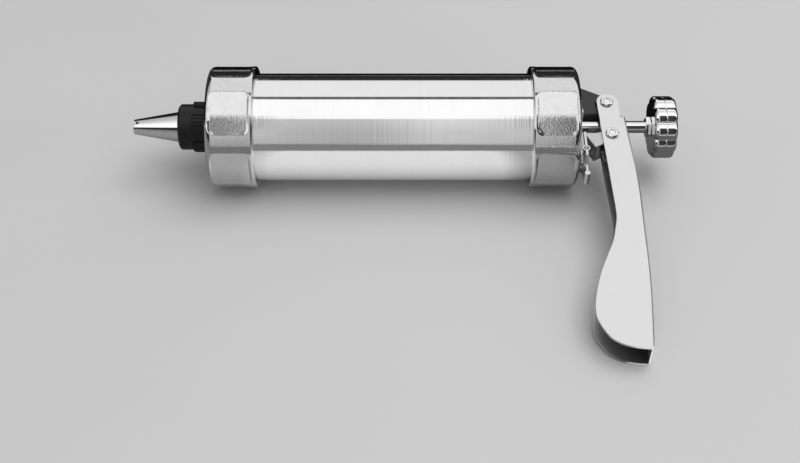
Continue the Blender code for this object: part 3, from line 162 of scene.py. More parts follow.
# Lever. Each share is (drop below the pivot in lever lengths, reach behind it in paddle widths).
LEVER_LENGTH = 0.15027
LEVER_PADDLE_WIDTH = 0.0260
LEVER_EYE_RADIUS = 0.0054
LEVER_EYE_OFFSET = 0.0004
LEVER_SHEET = 0.0011
LEVER_BEND = 0.0012
LEVER_EDGE = 0.0003
LEVER_BEND_STEPS = 6
LEVER_LINE_STEPS = 6
WEB_REACH_SHARE = 0.22
ROD_SLOT_GAP = 0.0008
LEVER_FRONT_SHARES = (
    (0.005, -0.190), (0.078, -0.176), (0.166, -0.160), (0.302, -0.131), (0.409, -0.111),
    (0.461, -0.100), (0.508, -0.108), (0.558, -0.165), (0.602, -0.226), (0.665, -0.375),
    (0.732, -0.521), (0.814, -0.643), (0.879, -0.673), (0.916, -0.612),
)
LEVER_TIP_SHARES = (
    (0.940, -0.545), (0.963, -0.454), (0.980, -0.320), (0.989, -0.199), (0.996, 0.000), (0.999, 0.182),
)
LEVER_REAR_SHARES = (
    (0.993, 0.236), (0.900, 0.286), (0.787, 0.338), (0.659, 0.372), (0.535, 0.386), (0.399, 0.403),
    (0.302, 0.395), (0.238, 0.374), (0.126, 0.338), (0.064, 0.319),
)
LEVER_STEP_SHARES = ((0.063, 0.245), (0.056, 0.231), (0.030, 0.228), (0.005, 0.224))

# Springs
PAWL_SPRING_WIRE = 0.0008
PAWL_SPRING_TURNS = 6
LEVER_SPRING_WIRE = 0.0006
LEVER_SPRING_TURNS = 1.5
LEVER_SPRING_LEG = 0.0030
COIL_STEPS = 40
WIRE_STEPS = 6

# Fine edges of sheet metal, mouldings and small turned pieces
SHEET_EDGE = 0.00016
MOULDED_EDGE = 0.0003
SMALL_EDGE = 0.00012
EDGE_STEPS = 2
SHARP_ANGLE = math.radians(32)

# Working values of the meshes. A corner's rounding takes at most CORNER_SHARE of each side.
MERGE_DISTANCE = 0.00001
FLAT_ANGLE = math.radians(0.2)
SOLID_FLAT_ANGLE = math.radians(1)
CORNER_SHARE = 0.45
OVERRUN = 0.002
SMALL_SEGMENTS = 72

# Where most of a noise's values lie: of one noise, of stretched lines and of two noises added up
NOISE_RANGE = (0.3, 0.7)
STREAK_RANGE = (0.35, 0.65)
GLOSS_RANGE = (0.7, 1.3)
# Samples of the ambient occlusion that paints shade into channels and folds
PAINTED_SHADE_SAMPLES = 8


# Places in the press frame


def joint(name):
    return next(entry for entry in frame["joints"] if entry["name"] == name)


def press_frame():
    low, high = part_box("barrel_tube")
    middle = (low + high) / 2
    roll = math.asin(joint("lever_squeeze")["axis"][1])
    place = Matrix.Translation((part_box("rear_collar")[1].x, middle.y, middle.z))
    return place @ Matrix.Rotation(roll, 4, "X")


PRESS = press_frame()
TO_PRESS = PRESS.inverted()


def span(node):
    """Lowest and highest corner of a CAD node in the press frame."""
    places = [TO_PRESS @ vertex.co for vertex in frame["nodes"][node].data.vertices]
    low = Vector([min(place[axis] for place in places) for axis in range(3)])
    high = Vector([max(place[axis] for place in places) for axis in range(3)])
    return low, high


def pivot(name):
    return TO_PRESS @ Vector(joint(name)["pos_m"])


def outer_radius(node):
    return max(math.hypot(*(TO_PRESS @ vertex.co).yz) for vertex in frame["nodes"][node].data.vertices)


LEVER_PIVOT = pivot("lever_squeeze")
PAWL_PIVOT = pivot("pawl_parallel")
TUBE_RADIUS = outer_radius("barrel_tube")
COLLAR_RADIUS = outer_radius("rear_collar") - ROUND_SPARE
COLLAR_BORE = TUBE_RADIUS + FIT_GAP
ROD_RADIUS = outer_radius("push_rod")


# Material nodes


class Graph:
    """A material or world with short calls for its nodes."""

    def __init__(self, owner):
        self.owner = owner
        owner.use_nodes = True
        self.tree = owner.node_tree

    def add(self, kind, inputs=None, **settings):
        made = self.tree.nodes.new("ShaderNode" + kind)
        for name, value in settings.items():
            setattr(made, name, value)
        for name, value in (inputs or {}).items():
            self.feed(made.inputs[name], value)
        return made

    def feed(self, socket, value):
        if isinstance(value, bpy.types.Node):
            value = next(output for output in value.outputs if output.enabled)
        if isinstance(value, bpy.types.NodeSocket):
            self.tree.links.new(value, socket)
        else:
            socket.default_value = value

    def noise(self, stretch, detail, roughness=0.55, distortion=0):
        """Noise over the piece's own coordinates, with the given number of cells a metre each way."""
        if not isinstance(stretch, tuple):
            stretch = (stretch, stretch, stretch)
        place = self.add("TexCoord").outputs["Object"]
        scaled = self.add("Mapping", {"Vector": place, "Scale": stretch})
        return self.add("TexNoise", {
            "Vector": scaled, "Scale": 1, "Detail": detail, "Roughness": roughness,
            "Distortion": distortion}, noise_dimensions="3D").outputs[0]

    def ranged(self, value, low, high, to_low, to_high):
        return self.add("MapRange", {
            "Value": value, "From Min": low, "From Max": high, "To Min": to_low, "To Max": to_high})

    def blend(self, one, other, operation="MULTIPLY"):
        made = self.add("Math", operation=operation)
        self.feed(made.inputs[0], one)
        self.feed(made.inputs[1], other)
        return made

    def mix(self, factor, one, other):
        """The first value where the factor is 0, the second where it is 1."""
        return self.add("Mix", {"Factor": factor, "A": one, "B": other}, data_type="FLOAT")


def finish_of(name, tone, roughness, grain, grain_depth, relief, smudge, metallic=1, specular=0.5,
              streak=None, streak_depth=0, hollow=0):
    """One surface finish: its tone, gloss and bump vary with fine grain, wide smudges and streaks.

    tone and roughness are (lowest, highest). grain and smudge are cells a metre, or three such numbers
    along X, Y and Z, as streak is. relief is how far the surface stands out, and hollow is the reach of
    painted shade: ambient occlusion darkens the colour in channels and folds, towards their floor.
    """
    graph = Graph(bpy.data.materials.new(name))
    shader = graph.tree.nodes["Principled BSDF"]
    shader.inputs["Metallic"].default_value = metallic
    shader.inputs["Specular IOR Level"].default_value = specular
    fine = graph.noise(grain, detail=4)
    wide = graph.noise(smudge, detail=3, roughness=0.6, distortion=0.4)
    shade = graph.ranged(wide, *NOISE_RANGE, *tone)
    # Painted shade: ambient occlusion darkens the colour in channels and folds, out to the hollow distance
    if hollow:
        depth = graph.add(
            "AmbientOcclusion", {"Distance": hollow}, only_local=True, samples=PAINTED_SHADE_SAMPLES)
        shade = graph.blend(shade, depth.outputs["AO"])
    if streak:
        lines = graph.noise(streak, detail=2, roughness=0.6)
        shade = graph.blend(shade, graph.ranged(lines, *STREAK_RANGE, 1 - streak_depth, 1))
        gloss = graph.blend(fine, lines, "ADD")
        height = lines
    else:
        gloss = graph.blend(fine, wide, "ADD")
        height = graph.noise(grain, detail=1)
    speck = graph.ranged(fine, *NOISE_RANGE, 1 - grain_depth, 1)
    graph.feed(shader.inputs["Base Color"], graph.blend(shade, speck))
    graph.feed(shader.inputs["Roughness"], graph.ranged(gloss, *GLOSS_RANGE, *roughness))
    graph.feed(shader.inputs["Normal"], graph.add(
        "Bump", {"Height": height, "Strength": 1, "Distance": relief}))
    return graph.owner


FINISH_VALUES = {
    "brushed_tube": {
        "tone": (0.86, 0.90), "roughness": (0.05, 0.11), "grain": (2200, 500, 500), "grain_depth": 0.015,
        "relief": 0.000022, "smudge": 35, "streak": (900, 5, 5), "streak_depth": 0.015},
    "cast_polish": {
        "tone": (0.71, 0.77), "roughness": (0.05, 0.10), "grain": 1100, "grain_depth": 0.10,
        "relief": 0.00002, "smudge": 160},
    "chrome": {
        "tone": (0.88, 0.92), "roughness": (0.03, 0.08), "grain": 900, "grain_depth": 0.01,
        "relief": 0.000003, "smudge": 90},
    # hollow: painted shade from ambient occlusion inside the lever's channel
    "lever_steel": {
        "tone": (0.87, 0.92), "roughness": (0.30, 0.42), "grain": 2600, "grain_depth": 0.06,
        "relief": 0.000012, "smudge": 45, "hollow": 0.014},
    # hollow: painted shade from ambient occlusion under the pawl and in the folds of the stamped pieces
    "stamped_steel": {
        "tone": (0.62, 0.74), "roughness": (0.26, 0.42), "grain": 2400, "grain_depth": 0.10,
        "relief": 0.00002, "smudge": 150, "hollow": 0.010},
    "spring_steel": {
        "tone": (0.58, 0.70), "roughness": (0.18, 0.30), "grain": 3000, "grain_depth": 0.06,
        "relief": 0.00001, "smudge": 200},
    "black_plastic": {
        "tone": (0.006, 0.010), "roughness": (0.30, 0.42), "grain": 2400, "grain_depth": 0.15,
        "relief": 0.000025, "smudge": 180, "metallic": 0, "specular": 0.30},
    "dark_moulding": {
        "tone": (0.030, 0.040), "roughness": (0.46, 0.60), "grain": 1800, "grain_depth": 0.12,
        "relief": 0.00002, "smudge": 120, "metallic": 0},
    "pale_plastic": {
        "tone": (0.70, 0.76), "roughness": (0.38, 0.50), "grain": 1600, "grain_depth": 0.04,
        "relief": 0.000012, "smudge": 70, "metallic": 0},
    "soft_seal": {
        "tone": (0.30, 0.36), "roughness": (0.50, 0.66), "grain": 2000, "grain_depth": 0.08,
        "relief": 0.00002, "smudge": 90, "metallic": 0},
}
FINISHES = {name: finish_of(name, **values) for name, values in FINISH_VALUES.items()}


def slot_of(node):
    for entry in frame["record"]["materials"]:
        if node in entry.get("nodes", ()):
            return entry["slot"]
    return frame["nodes"][node].data.materials[0].name


# Meshes


def ease(value):
    value = min(max(value, 0), 1)
    return value * value * (3 - 2 * value)


def arc(centre, radius, start_deg, end_deg, steps):
    points = []
    for step in range(steps + 1):
        angle = math.radians(start_deg + (end_deg - start_deg) * step / steps)
        points.append((centre[0] + radius * math.cos(angle), centre[1] + radius * math.sin(angle)))
    return points


def circle(centre, radius, facets=SMALL_SEGMENTS):
    return arc(centre, radius, 0, 360 - 360 / facets, facets - 1)


def rounded(points, radius, steps, closed=True):
    """Rounds the corners of an outline, by less where its sides are short."""
    line = [Vector(point) for point in points]
    result = []
    for i, corner in enumerate(line):
        if not closed and i in (0, len(line) - 1):
            result.append(tuple(corner))
            continue
        before = line[i - 1] - corner
        after = line[(i + 1) % len(line)] - corner
        cut = min(radius, before.length * CORNER_SHARE, after.length * CORNER_SHARE)
        start = corner + before.normalized() * cut
        end = corner + after.normalized() * cut
        for step in range(steps + 1):
            t = step / steps
            result.append(tuple(start * (1 - t) ** 2 + corner * 2 * t * (1 - t) + end * t * t))
    return result


def stepped(x_start, x_end, radius, step):
    """Points along a straight run, close enough for a shape to be pressed into it."""
    count = max(1, round(abs(x_end - x_start) / step))
    return [(x_start + (x_end - x_start) * i / count, radius) for i in range(count + 1)]


def stepped_radius(x, start, end, count):
    """Points across a flat face, from one radius to another."""
    return [(x, start + (end - start) * i / count) for i in range(count + 1)]


def turned(profile, segments, shape=None):
    """Turns a profile of (x, radius) round X. shape(x, radius, degrees) may change each radius."""
    work = bmesh.new()
    rings = []
    for x, radius in profile:
        if radius < MERGE_DISTANCE:
            rings.append([work.verts.new((x, 0, 0))])
            continue
        ring = []
        for i in range(segments):
            degrees = 360 * i / segments
            reach = shape(x, radius, degrees) if shape else radius
            turn = math.radians(degrees)
            ring.append(work.verts.new((x, reach * math.cos(turn), reach * math.sin(turn))))
        rings.append(ring)
    following = rings[1:] + (rings[:1] if len(rings[0]) > 1 and len(rings[-1]) > 1 else [])
    for ring, other in zip(rings, following):
        for i in range(segments):
            j = (i + 1) % segments
            corners = [line[k % len(line)] for line, k in ((ring, i), (ring, j), (other, j), (other, i))]
            work.faces.new(list(dict.fromkeys(corners)))
    return closed_mesh(work)


def closed_mesh(work):
    bmesh.ops.remove_doubles(work, verts=work.verts, dist=MERGE_DISTANCE / 2)
    bmesh.ops.recalc_face_normals(work, faces=work.faces)
    mesh = bpy.data.meshes.new("mesh")
    work.to_mesh(mesh)
    work.free()
    return mesh


def slab(loops, low, high):
    """A flat outline with its holes, drawn in X and Y and reaching from low to high along Z."""
    curve = bpy.data.curves.new("outline", "CURVE")
    curve.dimensions = "2D"
    curve.fill_mode = "BOTH"
    curve.extrude = (high - low) / 2
    for loop in loops:
        spline = curve.splines.new("POLY")
        spline.points.add(len(loop) - 1)
        for point, (x, y) in zip(spline.points, loop):
            point.co = (x, y, 0, 1)
        spline.use_cyclic_u = True
    work = bmesh.new()
    work.from_mesh(mesh_of(curve))
    bmesh.ops.remove_doubles(work, verts=work.verts, dist=MERGE_DISTANCE / 10)
    bmesh.ops.dissolve_limit(work, angle_limit=FLAT_ANGLE, verts=work.verts, edges=work.edges)
    bmesh.ops.translate(work, verts=work.verts, vec=(0, 0, (low + high) / 2))
    return closed_mesh(work)


def facing_x(mesh):
    """Turns what is drawn in X and Y so that it lies in Y and Z, and reaches along X."""
    mesh.transform(Matrix(((0, 0, 1, 0), (1, 0, 0, 0), (0, 1, 0, 0), (0, 0, 0, 1))))
    return mesh


def new_object(name, data):
    thing = bpy.data.objects.new(name, data)
    bpy.context.scene.collection.objects.link(thing)
    return thing


def mesh_from(thing):
    """The mesh of an object with its modifiers worked in. The object goes."""
    graph = bpy.context.evaluated_depsgraph_get()
    mesh = bpy.data.meshes.new_from_object(thing.evaluated_get(graph))
    bpy.data.objects.remove(thing, do_unlink=True)
    return mesh


def mesh_of(curve):
    return mesh_from(new_object("carrier", curve))


def in_triangles(mesh):
    work = bmesh.new()
    work.from_mesh(mesh)
    bmesh.ops.triangulate(work, faces=[face for face in work.faces if len(face.verts) > 4])
    work.to_mesh(mesh)
    work.free()
    return mesh


def carved(mesh, *cutters):
    for cutter in cutters:
        target = new_object("target", in_triangles(mesh))
        tool = new_object("tool", in_triangles(cutter))
        modifier = target.modifiers.new("cut", "BOOLEAN")
        modifier.operation = "DIFFERENCE"
        modifier.solver = "EXACT"
        modifier.object = tool
        mesh = mesh_from(target)
        bpy.data.objects.remove(tool, do_unlink=True)
    return mesh


def smooth_line(points, steps):
    """A smooth line through the points, with the given number of steps between neighbours."""
    line = []
    for i in range(len(points) - 1):
        before = points[max(i - 1, 0)]
        start, end = points[i], points[i + 1]
        after = points[min(i + 2, len(points) - 1)]
        for step in range(steps):
            t = step / steps
            line.append(tuple(
                0.5 * (2 * b + (c - a) * t + (2 * a - 5 * b + 4 * c - d) * t * t
                       + (3 * b - a - 3 * c + d) * t ** 3)
                for a, b, c, d in zip(before, start, end, after)))
    line.append(tuple(points[-1]))
    return line


# Pieces


def add_piece(node, mesh, edge=0.0, in_press_frame=True):
    """Puts a fine mesh in a CAD node's place: on its body, with its finish."""
    mesh.materials.clear()
    slot = slot_of(node)
    mesh.materials.append(FINISHES[slot])
    if in_press_frame:
        mesh.transform(PRESS)
    mesh.shade_smooth()
    mesh.set_sharp_from_angle(angle=SHARP_ANGLE)
    piece = new_object(node + "_fine", mesh)
    if edge:
        bevel = piece.modifiers.new("edges", "BEVEL")
        bevel.width = edge
        bevel.segments = EDGE_STEPS
        bevel.limit_method = "ANGLE"
        bevel.angle_limit = SHARP_ANGLE
    weighted = piece.modifiers.new("normals", "WEIGHTED_NORMAL")
    weighted.keep_sharp = True
    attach(piece, frame["nodes"][node]["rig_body"])
    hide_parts(node)


def refine(node, edge):
    """Adds a CAD node's own shape with welded faces, smooth rounds and fine edges."""
    source = frame["nodes"][node].data
    work = bmesh.new()
    corners = [work.verts.new(vertex.co) for vertex in source.vertices]
    for polygon in source.polygons:
        work.faces.new([corners[i] for i in polygon.vertices])
    bmesh.ops.remove_doubles(work, verts=work.verts, dist=MERGE_DISTANCE)
    bmesh.ops.dissolve_limit(work, angle_limit=SOLID_FLAT_ANGLE, verts=work.verts, edges=work.edges)
    add_piece(node, closed_mesh(work), edge, in_press_frame=False)


def barrel_tube():
    low, high = span("barrel_tube")
    inner = TUBE_RADIUS - TUBE_WALL
    profile = [(low.x, TUBE_RADIUS), (high.x, TUBE_RADIUS), (high.x, inner), (low.x, inner)]
    add_piece("barrel_tube", turned(rounded(profile, SMALL_EDGE, EDGE_STEPS), TUBE_SEGMENTS))


def panel_shape(x_low, x_high):
    """Presses the flats into a collar, each with rounded corners and soft edges."""
    apothem = COLLAR_RADIUS - COLLAR_FLAT_DEPTH
    half_chord = math.sqrt(COLLAR_RADIUS ** 2 - apothem ** 2)
    middle, half_length = (x_low + x_high) / 2, (x_high - x_low) / 2
    pitch = 360 / COLLAR_FLATS

    def shape(x, radius, degrees):
        if radius < COLLAR_BORE + FIT_GAP:
            return radius
        off = (degrees + COLLAR_TURN_DEG + pitch / 2) % pitch - pitch / 2
        turn = math.radians(off)
        edge_share = min(abs(turn) / math.asin(half_chord / COLLAR_RADIUS), 1)
        flat = apothem + COLLAR_CROWN * (1 - edge_share ** 2) - COLLAR_PANEL_STEP
        across = abs(apothem * math.tan(turn)) - half_chord + COLLAR_PANEL_ROUND
        along = abs(x - middle) - half_length + COLLAR_PANEL_ROUND
        outside = math.hypot(max(across, 0), max(along, 0)) + min(max(across, along), 0)
        inside = ease((COLLAR_PANEL_ROUND - outside) / PANEL_EDGE / 2 + 0.5)
        return radius + inside * min(flat / math.cos(turn) - radius, 0)

    return shape


def collar(node, lip_reach, mirrored):
    low, high = span(node)
    side = -1 if mirrored else 1
    end = high.x if mirrored else low.x
    length = high.x - low.x
    opening = TUBE_RADIUS - lip_reach
    nose_centre = (COLLAR_NOSE, COLLAR_RADIUS - COLLAR_NOSE)
    edge_centre = (length - COLLAR_EDGE, COLLAR_RADIUS - COLLAR_EDGE)
    profile = arc(nose_centre, COLLAR_NOSE, start_deg=180, end_deg=95, steps=10)
    profile += stepped(COLLAR_NOSE, length - COLLAR_EDGE, COLLAR_RADIUS, COLLAR_STEP)
    profile += arc(edge_centre, COLLAR_EDGE, start_deg=80, end_deg=0, steps=5)
    inner = [(length, COLLAR_BORE), (COLLAR_LIP, COLLAR_BORE), (COLLAR_LIP, opening), (0, opening)]
    inner = [profile[-1]] + inner + [profile[0]]
    profile += rounded(inner, SMALL_EDGE * 2, steps=3, closed=False)[1:-1]
    profile = [(end + side * x, radius) for x, radius in profile]
    ends = sorted([end + side * COLLAR_RIM, end + side * (length - COLLAR_RIM)])
    add_piece(node, turned(profile, COLLAR_SEGMENTS, panel_shape(*ends)))


def nut_shape(x_rear):
    """Raises the grip pads on the nut: bowed in front, with ribs along them."""
    pad_front = x_rear - NUT_PAD_LENGTH
    pad_radius = outer_radius("coupling_nut")
    pitch = 360 / NUT_PADS

    def shape(x, radius, degrees):
        if radius < NUT_RADIUS - NUT_CHAMFER / 2:
            return radius
        off = (degrees - NUT_PAD_FIRST_DEG + pitch / 2) % pitch - pitch / 2
        side = (NUT_PAD_HALF_DEG - abs(off)) / NUT_PAD_SIDE_DEG
        across = pad_radius * math.sin(math.radians(off))
        bow = NUT_PAD_BOW - math.sqrt(max(NUT_PAD_BOW ** 2 - across ** 2, 0))
        front = (x - pad_front - bow) / (2 * NUT_STEP)
        track = (off + NUT_PAD_HALF_DEG) / (2 * NUT_PAD_HALF_DEG) * NUT_PAD_TRACKS
        from_groove = abs(((track - NUT_GROOVE_FIRST) / 2 + 0.5) % 1 - 0.5) * 2
        rib = pad_radius - NUT_RIB_DEPTH * ease((NUT_GROOVE_SHARE - from_groove) / NUT_GROOVE_EDGE)
        raised = ease(side) * ease(front)
        return radius + raised * max(rib - radius, 0)

    return shape


def coupling_nut():
    low, high = span("coupling_nut")
    flange = high.x - NUT_FLANGE
    profile = rounded([
        (high.x, NUT_BORE), (low.x + NUT_LIP, NUT_BORE), (low.x + NUT_LIP, NUT_MOUTH), (low.x, NUT_MOUTH),
        (low.x, NUT_RADIUS - NUT_CHAMFER), (low.x + NUT_CHAMFER, NUT_RADIUS),
    ], SMALL_EDGE, EDGE_STEPS, closed=False)
    profile += stepped(low.x + NUT_CHAMFER + NUT_STEP, flange - NUT_FLARE, NUT_RADIUS, NUT_STEP)
    profile += [
        (flange - NUT_FLARE / 2, (NUT_RADIUS + NUT_FLANGE_RADIUS) / 2), (flange, NUT_FLANGE_RADIUS),
        (high.x - SMALL_EDGE, NUT_FLANGE_RADIUS), (high.x, NUT_FLANGE_RADIUS - SMALL_EDGE)]
    add_piece("coupling_nut", turned(profile, NUT_SEGMENTS, nut_shape(high.x - NUT_FLANGE / 2)))


def nozzle():
    low, high = span("nozzle")
    throat = span("coupling_nut")[0].x
    throat_radius = NUT_MOUTH - FIT_GAP
    base_radius = NUT_BORE - FIT_GAP
    slope = (throat_radius - NOZZLE_TIP_RADIUS) / (throat - low.x)
    tip_inner = NOZZLE_TIP_RADIUS - NOZZLE_WALL + slope * NOZZLE_WALL
    profile = rounded([
        (low.x, NOZZLE_TIP_RADIUS), (throat, throat_radius), (high.x - NOZZLE_FLANGE, throat_radius),
        (high.x - NOZZLE_FLANGE, base_radius), (high.x, base_radius),
        (high.x, throat_radius - NOZZLE_WALL), (throat, throat_radius - NOZZLE_WALL),
        (low.x, tip_inner),
    ], SMALL_EDGE, EDGE_STEPS)
    mouth = low.x - OVERRUN
    half = NOZZLE_NOTCH_WIDTH / 2 * (NOZZLE_NOTCH_DEPTH + OVERRUN) / NOZZLE_NOTCH_DEPTH
    outline = [(mouth, -half), (low.x + NOZZLE_NOTCH_DEPTH, 0), (mouth, half)]
    wedge = slab([outline], -throat_radius, throat_radius)
    wedge.transform(Matrix.Rotation(math.radians(NOZZLE_NOTCH_TURN_DEG), 4, "X"))
    add_piece("nozzle", carved(turned(profile, NOZZLE_SEGMENTS), wedge))


def push_rod():
    low, high = span("push_rod")
    edge = ROD_CHAMFER / 2
    profile = [
        (low.x + ROD_BORE_DEPTH, 0), (low.x + ROD_BORE_DEPTH, ROD_BORE), (low.x, ROD_BORE),
        (low.x, ROD_RADIUS - edge), (low.x + edge, ROD_RADIUS), (high.x - edge, ROD_RADIUS),
        (high.x, ROD_RADIUS - edge), (high.x, 0)]
    start = low.x + TOOTH_FIRST
    end = span("knob_locknut")[0].x - TOOTH_LAST
    count = int((end - start) / TOOTH_PITCH)
    comb = [(start, ROD_RADIUS + OVERRUN), (start, ROD_RADIUS)]
    for number in range(count):
        x = start + number * TOOTH_PITCH
        if number:
            comb.append((x, ROD_RADIUS))
        comb.append((x + TOOTH_PITCH * TOOTH_SLOPE_SHARE, ROD_RADIUS - TOOTH_DEPTH))
    last = start + count * TOOTH_PITCH
    comb += [(last, ROD_RADIUS), (last, ROD_RADIUS + OVERRUN)]
    teeth = slab([comb], -ROD_RADIUS - OVERRUN, ROD_RADIUS + OVERRUN)
    add_piece("push_rod", carved(turned(profile, SMALL_SEGMENTS), teeth))


def knob_locknut():
    low, high = span("knob_locknut")
    hexagon = circle((0, 0), outer_radius("knob_locknut"), LOCKNUT_SIDES)
    mesh = facing_x(slab([hexagon, circle((0, 0), ROD_RADIUS + FIT_GAP)], low.x, high.x))
    add_piece("knob_locknut", mesh, SHEET_EDGE * 2)


def lobed(radius, degrees):
    """The knob's outline, which reaches out to the radius: each lobe is a round of its own."""
    pitch = 360 / KNOB_LOBES
    off = math.radians((degrees + pitch / 2) % pitch - pitch / 2)
    centre = radius - KNOB_LOBE_RADIUS
    return centre * math.cos(off) + math.sqrt(KNOB_LOBE_RADIUS ** 2 - (centre * math.sin(off)) ** 2)


def knob():
    low, high = span("knob")
    rear = low.x + KNOB_THICKNESS
    radius = outer_radius("knob")
    body = radius - KNOB_EDGE

    def shape(x, across, degrees):
        lobe = lobed(radius, degrees)
        if across > body:
            return lobe - (radius - across)
        share = ease((across - KNOB_DOME_RADIUS) / (body - KNOB_DOME_RADIUS))
        return across * (1 - share + share * (lobe - KNOB_EDGE) / body)

    bore = ROD_RADIUS + FIT_GAP
    middle = (low.x + rear) / 2
    profile = [(low.x + ROD_BORE_DEPTH, 0), (low.x + ROD_BORE_DEPTH, bore), (low.x, bore)]
    profile += stepped_radius(low.x, bore, body, KNOB_FACE_STEPS)
    profile += arc((low.x + KNOB_EDGE, body), KNOB_EDGE, 180, 90, KNOB_EDGE_STEPS)[1:]
    for share in (-1, -0.5, 0, 0.5, 1):
        depth = KNOB_GROOVE_DEPTH * (1 - abs(share))
        profile.append((middle + share * KNOB_GROOVE_WIDTH / 2, radius - depth))
    profile += arc((rear - KNOB_EDGE, body), KNOB_EDGE, 90, 0, KNOB_EDGE_STEPS)
    dome = high.x - rear
    sphere = (KNOB_DOME_RADIUS ** 2 + dome ** 2) / (2 * dome)
    start = math.degrees(math.asin(KNOB_DOME_RADIUS / sphere))
    profile += stepped_radius(rear, body, KNOB_DOME_RADIUS, KNOB_BRIM_STEPS)[1:]
    profile += arc((high.x - sphere, 0), sphere, start, 0, KNOB_FACE_STEPS)[1:-1] + [(high.x, 0)]
    add_piece("knob", turned(profile, KNOB_SEGMENTS, shape))


def rivet(node, place):
    """Shank between two low domed heads, each with the setting tool's ring-shaped dimple."""
    low, high = span(node)
    half_length = (high.z - low.z) / 2
    face = half_length - RIVET_HEAD
    floor_level = half_length - RIVET_DIMPLE
    head = rounded([
        (face, RIVET_RADIUS), (face, RIVET_HEAD_RADIUS),
        (face + RIVET_HEAD * RIVET_BRIM_SHARE, RIVET_HEAD_RADIUS),
        (half_length, RIVET_HEAD_RADIUS - RIVET_HEAD * RIVET_SLOPE_SHARE),
        (half_length, RIVET_DIMPLE_RADIUS + RIVET_LIP),
        (floor_level, RIVET_DIMPLE_RADIUS), (floor_level, RIVET_DIMPLE_RADIUS / 2),
    ], RIVET_LIP, steps=4, closed=False)
    profile = [(-floor_level - RIVET_LIP, 0)] + [(-x, radius) for x, radius in reversed(head)]
    profile += head + [(floor_level + RIVET_LIP, 0)]
    mesh = turned(profile, SMALL_SEGMENTS)
    mesh.transform(Matrix.Translation((place.x, place.y, 0)) @ Matrix.Rotation(-math.pi / 2, 4, "Y"))
    add_piece(node, mesh)


def lever_points(shares):
    return [
        (LEVER_PIVOT.x + reach * LEVER_PADDLE_WIDTH, LEVER_PIVOT.y - drop * LEVER_LENGTH)
        for drop, reach in shares
    ]


def offset_line(line, distance):
    """The line moved sideways, towards the lever's open front."""
    result = []
    for i, point in enumerate(line):
        before = Vector(line[max(i - 1, 0)])
        after = Vector(line[min(i + 1, len(line) - 1)])
        along = (after - before).normalized()
        result.append(tuple(Vector(point) + Vector((-along.y, along.x)) * distance))
    return result


def trigger_lever():
    low, high = span("trigger_lever")
    half_width = (high.z - low.z) / 2
    rear = smooth_line(lever_points(LEVER_REAR_SHARES), LEVER_LINE_STEPS)
    front = smooth_line(lever_points(LEVER_FRONT_SHARES + LEVER_TIP_SHARES), LEVER_LINE_STEPS)
    eye_centre = LEVER_PIVOT.xy + Vector((LEVER_EYE_OFFSET, LEVER_EYE_OFFSET))
    eye = arc(eye_centre, LEVER_EYE_RADIUS, start_deg=5, end_deg=172, steps=28)
    step = lever_points(LEVER_STEP_SHARES)
    blank = slab([eye + front + rear + step], -half_width, half_width)
    inner = offset_line(rear, LEVER_SHEET)
    lowest = LEVER_PIVOT.y - LEVER_LENGTH - OVERRUN
    highest = LEVER_PIVOT.y + LEVER_EYE_RADIUS + OVERRUN
    ahead = LEVER_PIVOT.x - LEVER_PADDLE_WIDTH
    behind = LEVER_PIVOT.x + LEVER_EYE_RADIUS + OVERRUN
    hollow = [(inner[0][0], lowest)] + inner
    hollow += [(inner[-1][0], step[1][1]), (behind, step[1][1]), (behind, highest), (ahead, highest)]
    hollow.append((ahead, lowest))
    channel = slab([hollow], LEVER_SHEET - half_width, half_width - LEVER_SHEET)
    gap = ROD_RADIUS + ROD_SLOT_GAP
    top = ROD_RADIUS + OVERRUN
    outline = arc((0, 0), gap, start_deg=180, end_deg=360, steps=16) + [(gap, top), (-gap, top)]
    slot = [(y, z) for z, y in outline]
    rod_slot = facing_x(slab([slot], LEVER_PIVOT.x, LEVER_PIVOT.x + LEVER_PADDLE_WIDTH))
    reach = half_width + OVERRUN
    holes = [
        slab([circle(place.xy, RIVET_RADIUS + FIT_GAP)], -reach, reach)
        for place in (LEVER_PIVOT, PAWL_PIVOT)
    ]
    mesh = carved(blank, channel, rod_slot, *holes)
    round_bends(mesh, rear, half_width)
    add_piece("trigger_lever", mesh, LEVER_EDGE)


def round_bends(mesh, rear, half_width):
    """Rounds the edges where the web turns into the cheeks."""
    work = bmesh.new()
    work.from_mesh(mesh)
    bmesh.ops.remove_doubles(work, verts=work.verts, dist=MERGE_DISTANCE / 2)
    bmesh.ops.dissolve_limit(work, angle_limit=FLAT_ANGLE, verts=work.verts, edges=work.edges)
    edges = []
    for edge in work.edges:
        middle = (edge.verts[0].co + edge.verts[1].co) / 2
        level = max(abs(abs(vertex.co.z) - half_width) for vertex in edge.verts) < FIT_GAP
        behind = middle.x > LEVER_PIVOT.x + LEVER_PADDLE_WIDTH * WEB_REACH_SHARE
        if level and behind and rear[0][1] - FIT_GAP < middle.y < rear[-1][1] + FIT_GAP:
            edges.append(edge)
    bmesh.ops.bevel(
        work, geom=edges, offset=LEVER_BEND, segments=LEVER_BEND_STEPS, profile=0.5, affect="EDGES")
    bmesh.ops.recalc_face_normals(work, faces=work.faces)
    work.to_mesh(mesh)
    work.free()


def add_wire(node, points, wire):
    curve = bpy.data.curves.new(node, "CURVE")
    curve.dimensions = "3D"
    curve.bevel_depth = wire / 2
    curve.bevel_resolution = WIRE_STEPS
    curve.use_fill_caps = True
    spline = curve.splines.new("POLY")
    spline.points.add(len(points) - 1)
    for target, point in zip(spline.points, points):
        target.co = (*point, 1)
    work = bmesh.new()
    work.from_mesh(mesh_of(curve))
    add_piece(node, closed_mesh(work))


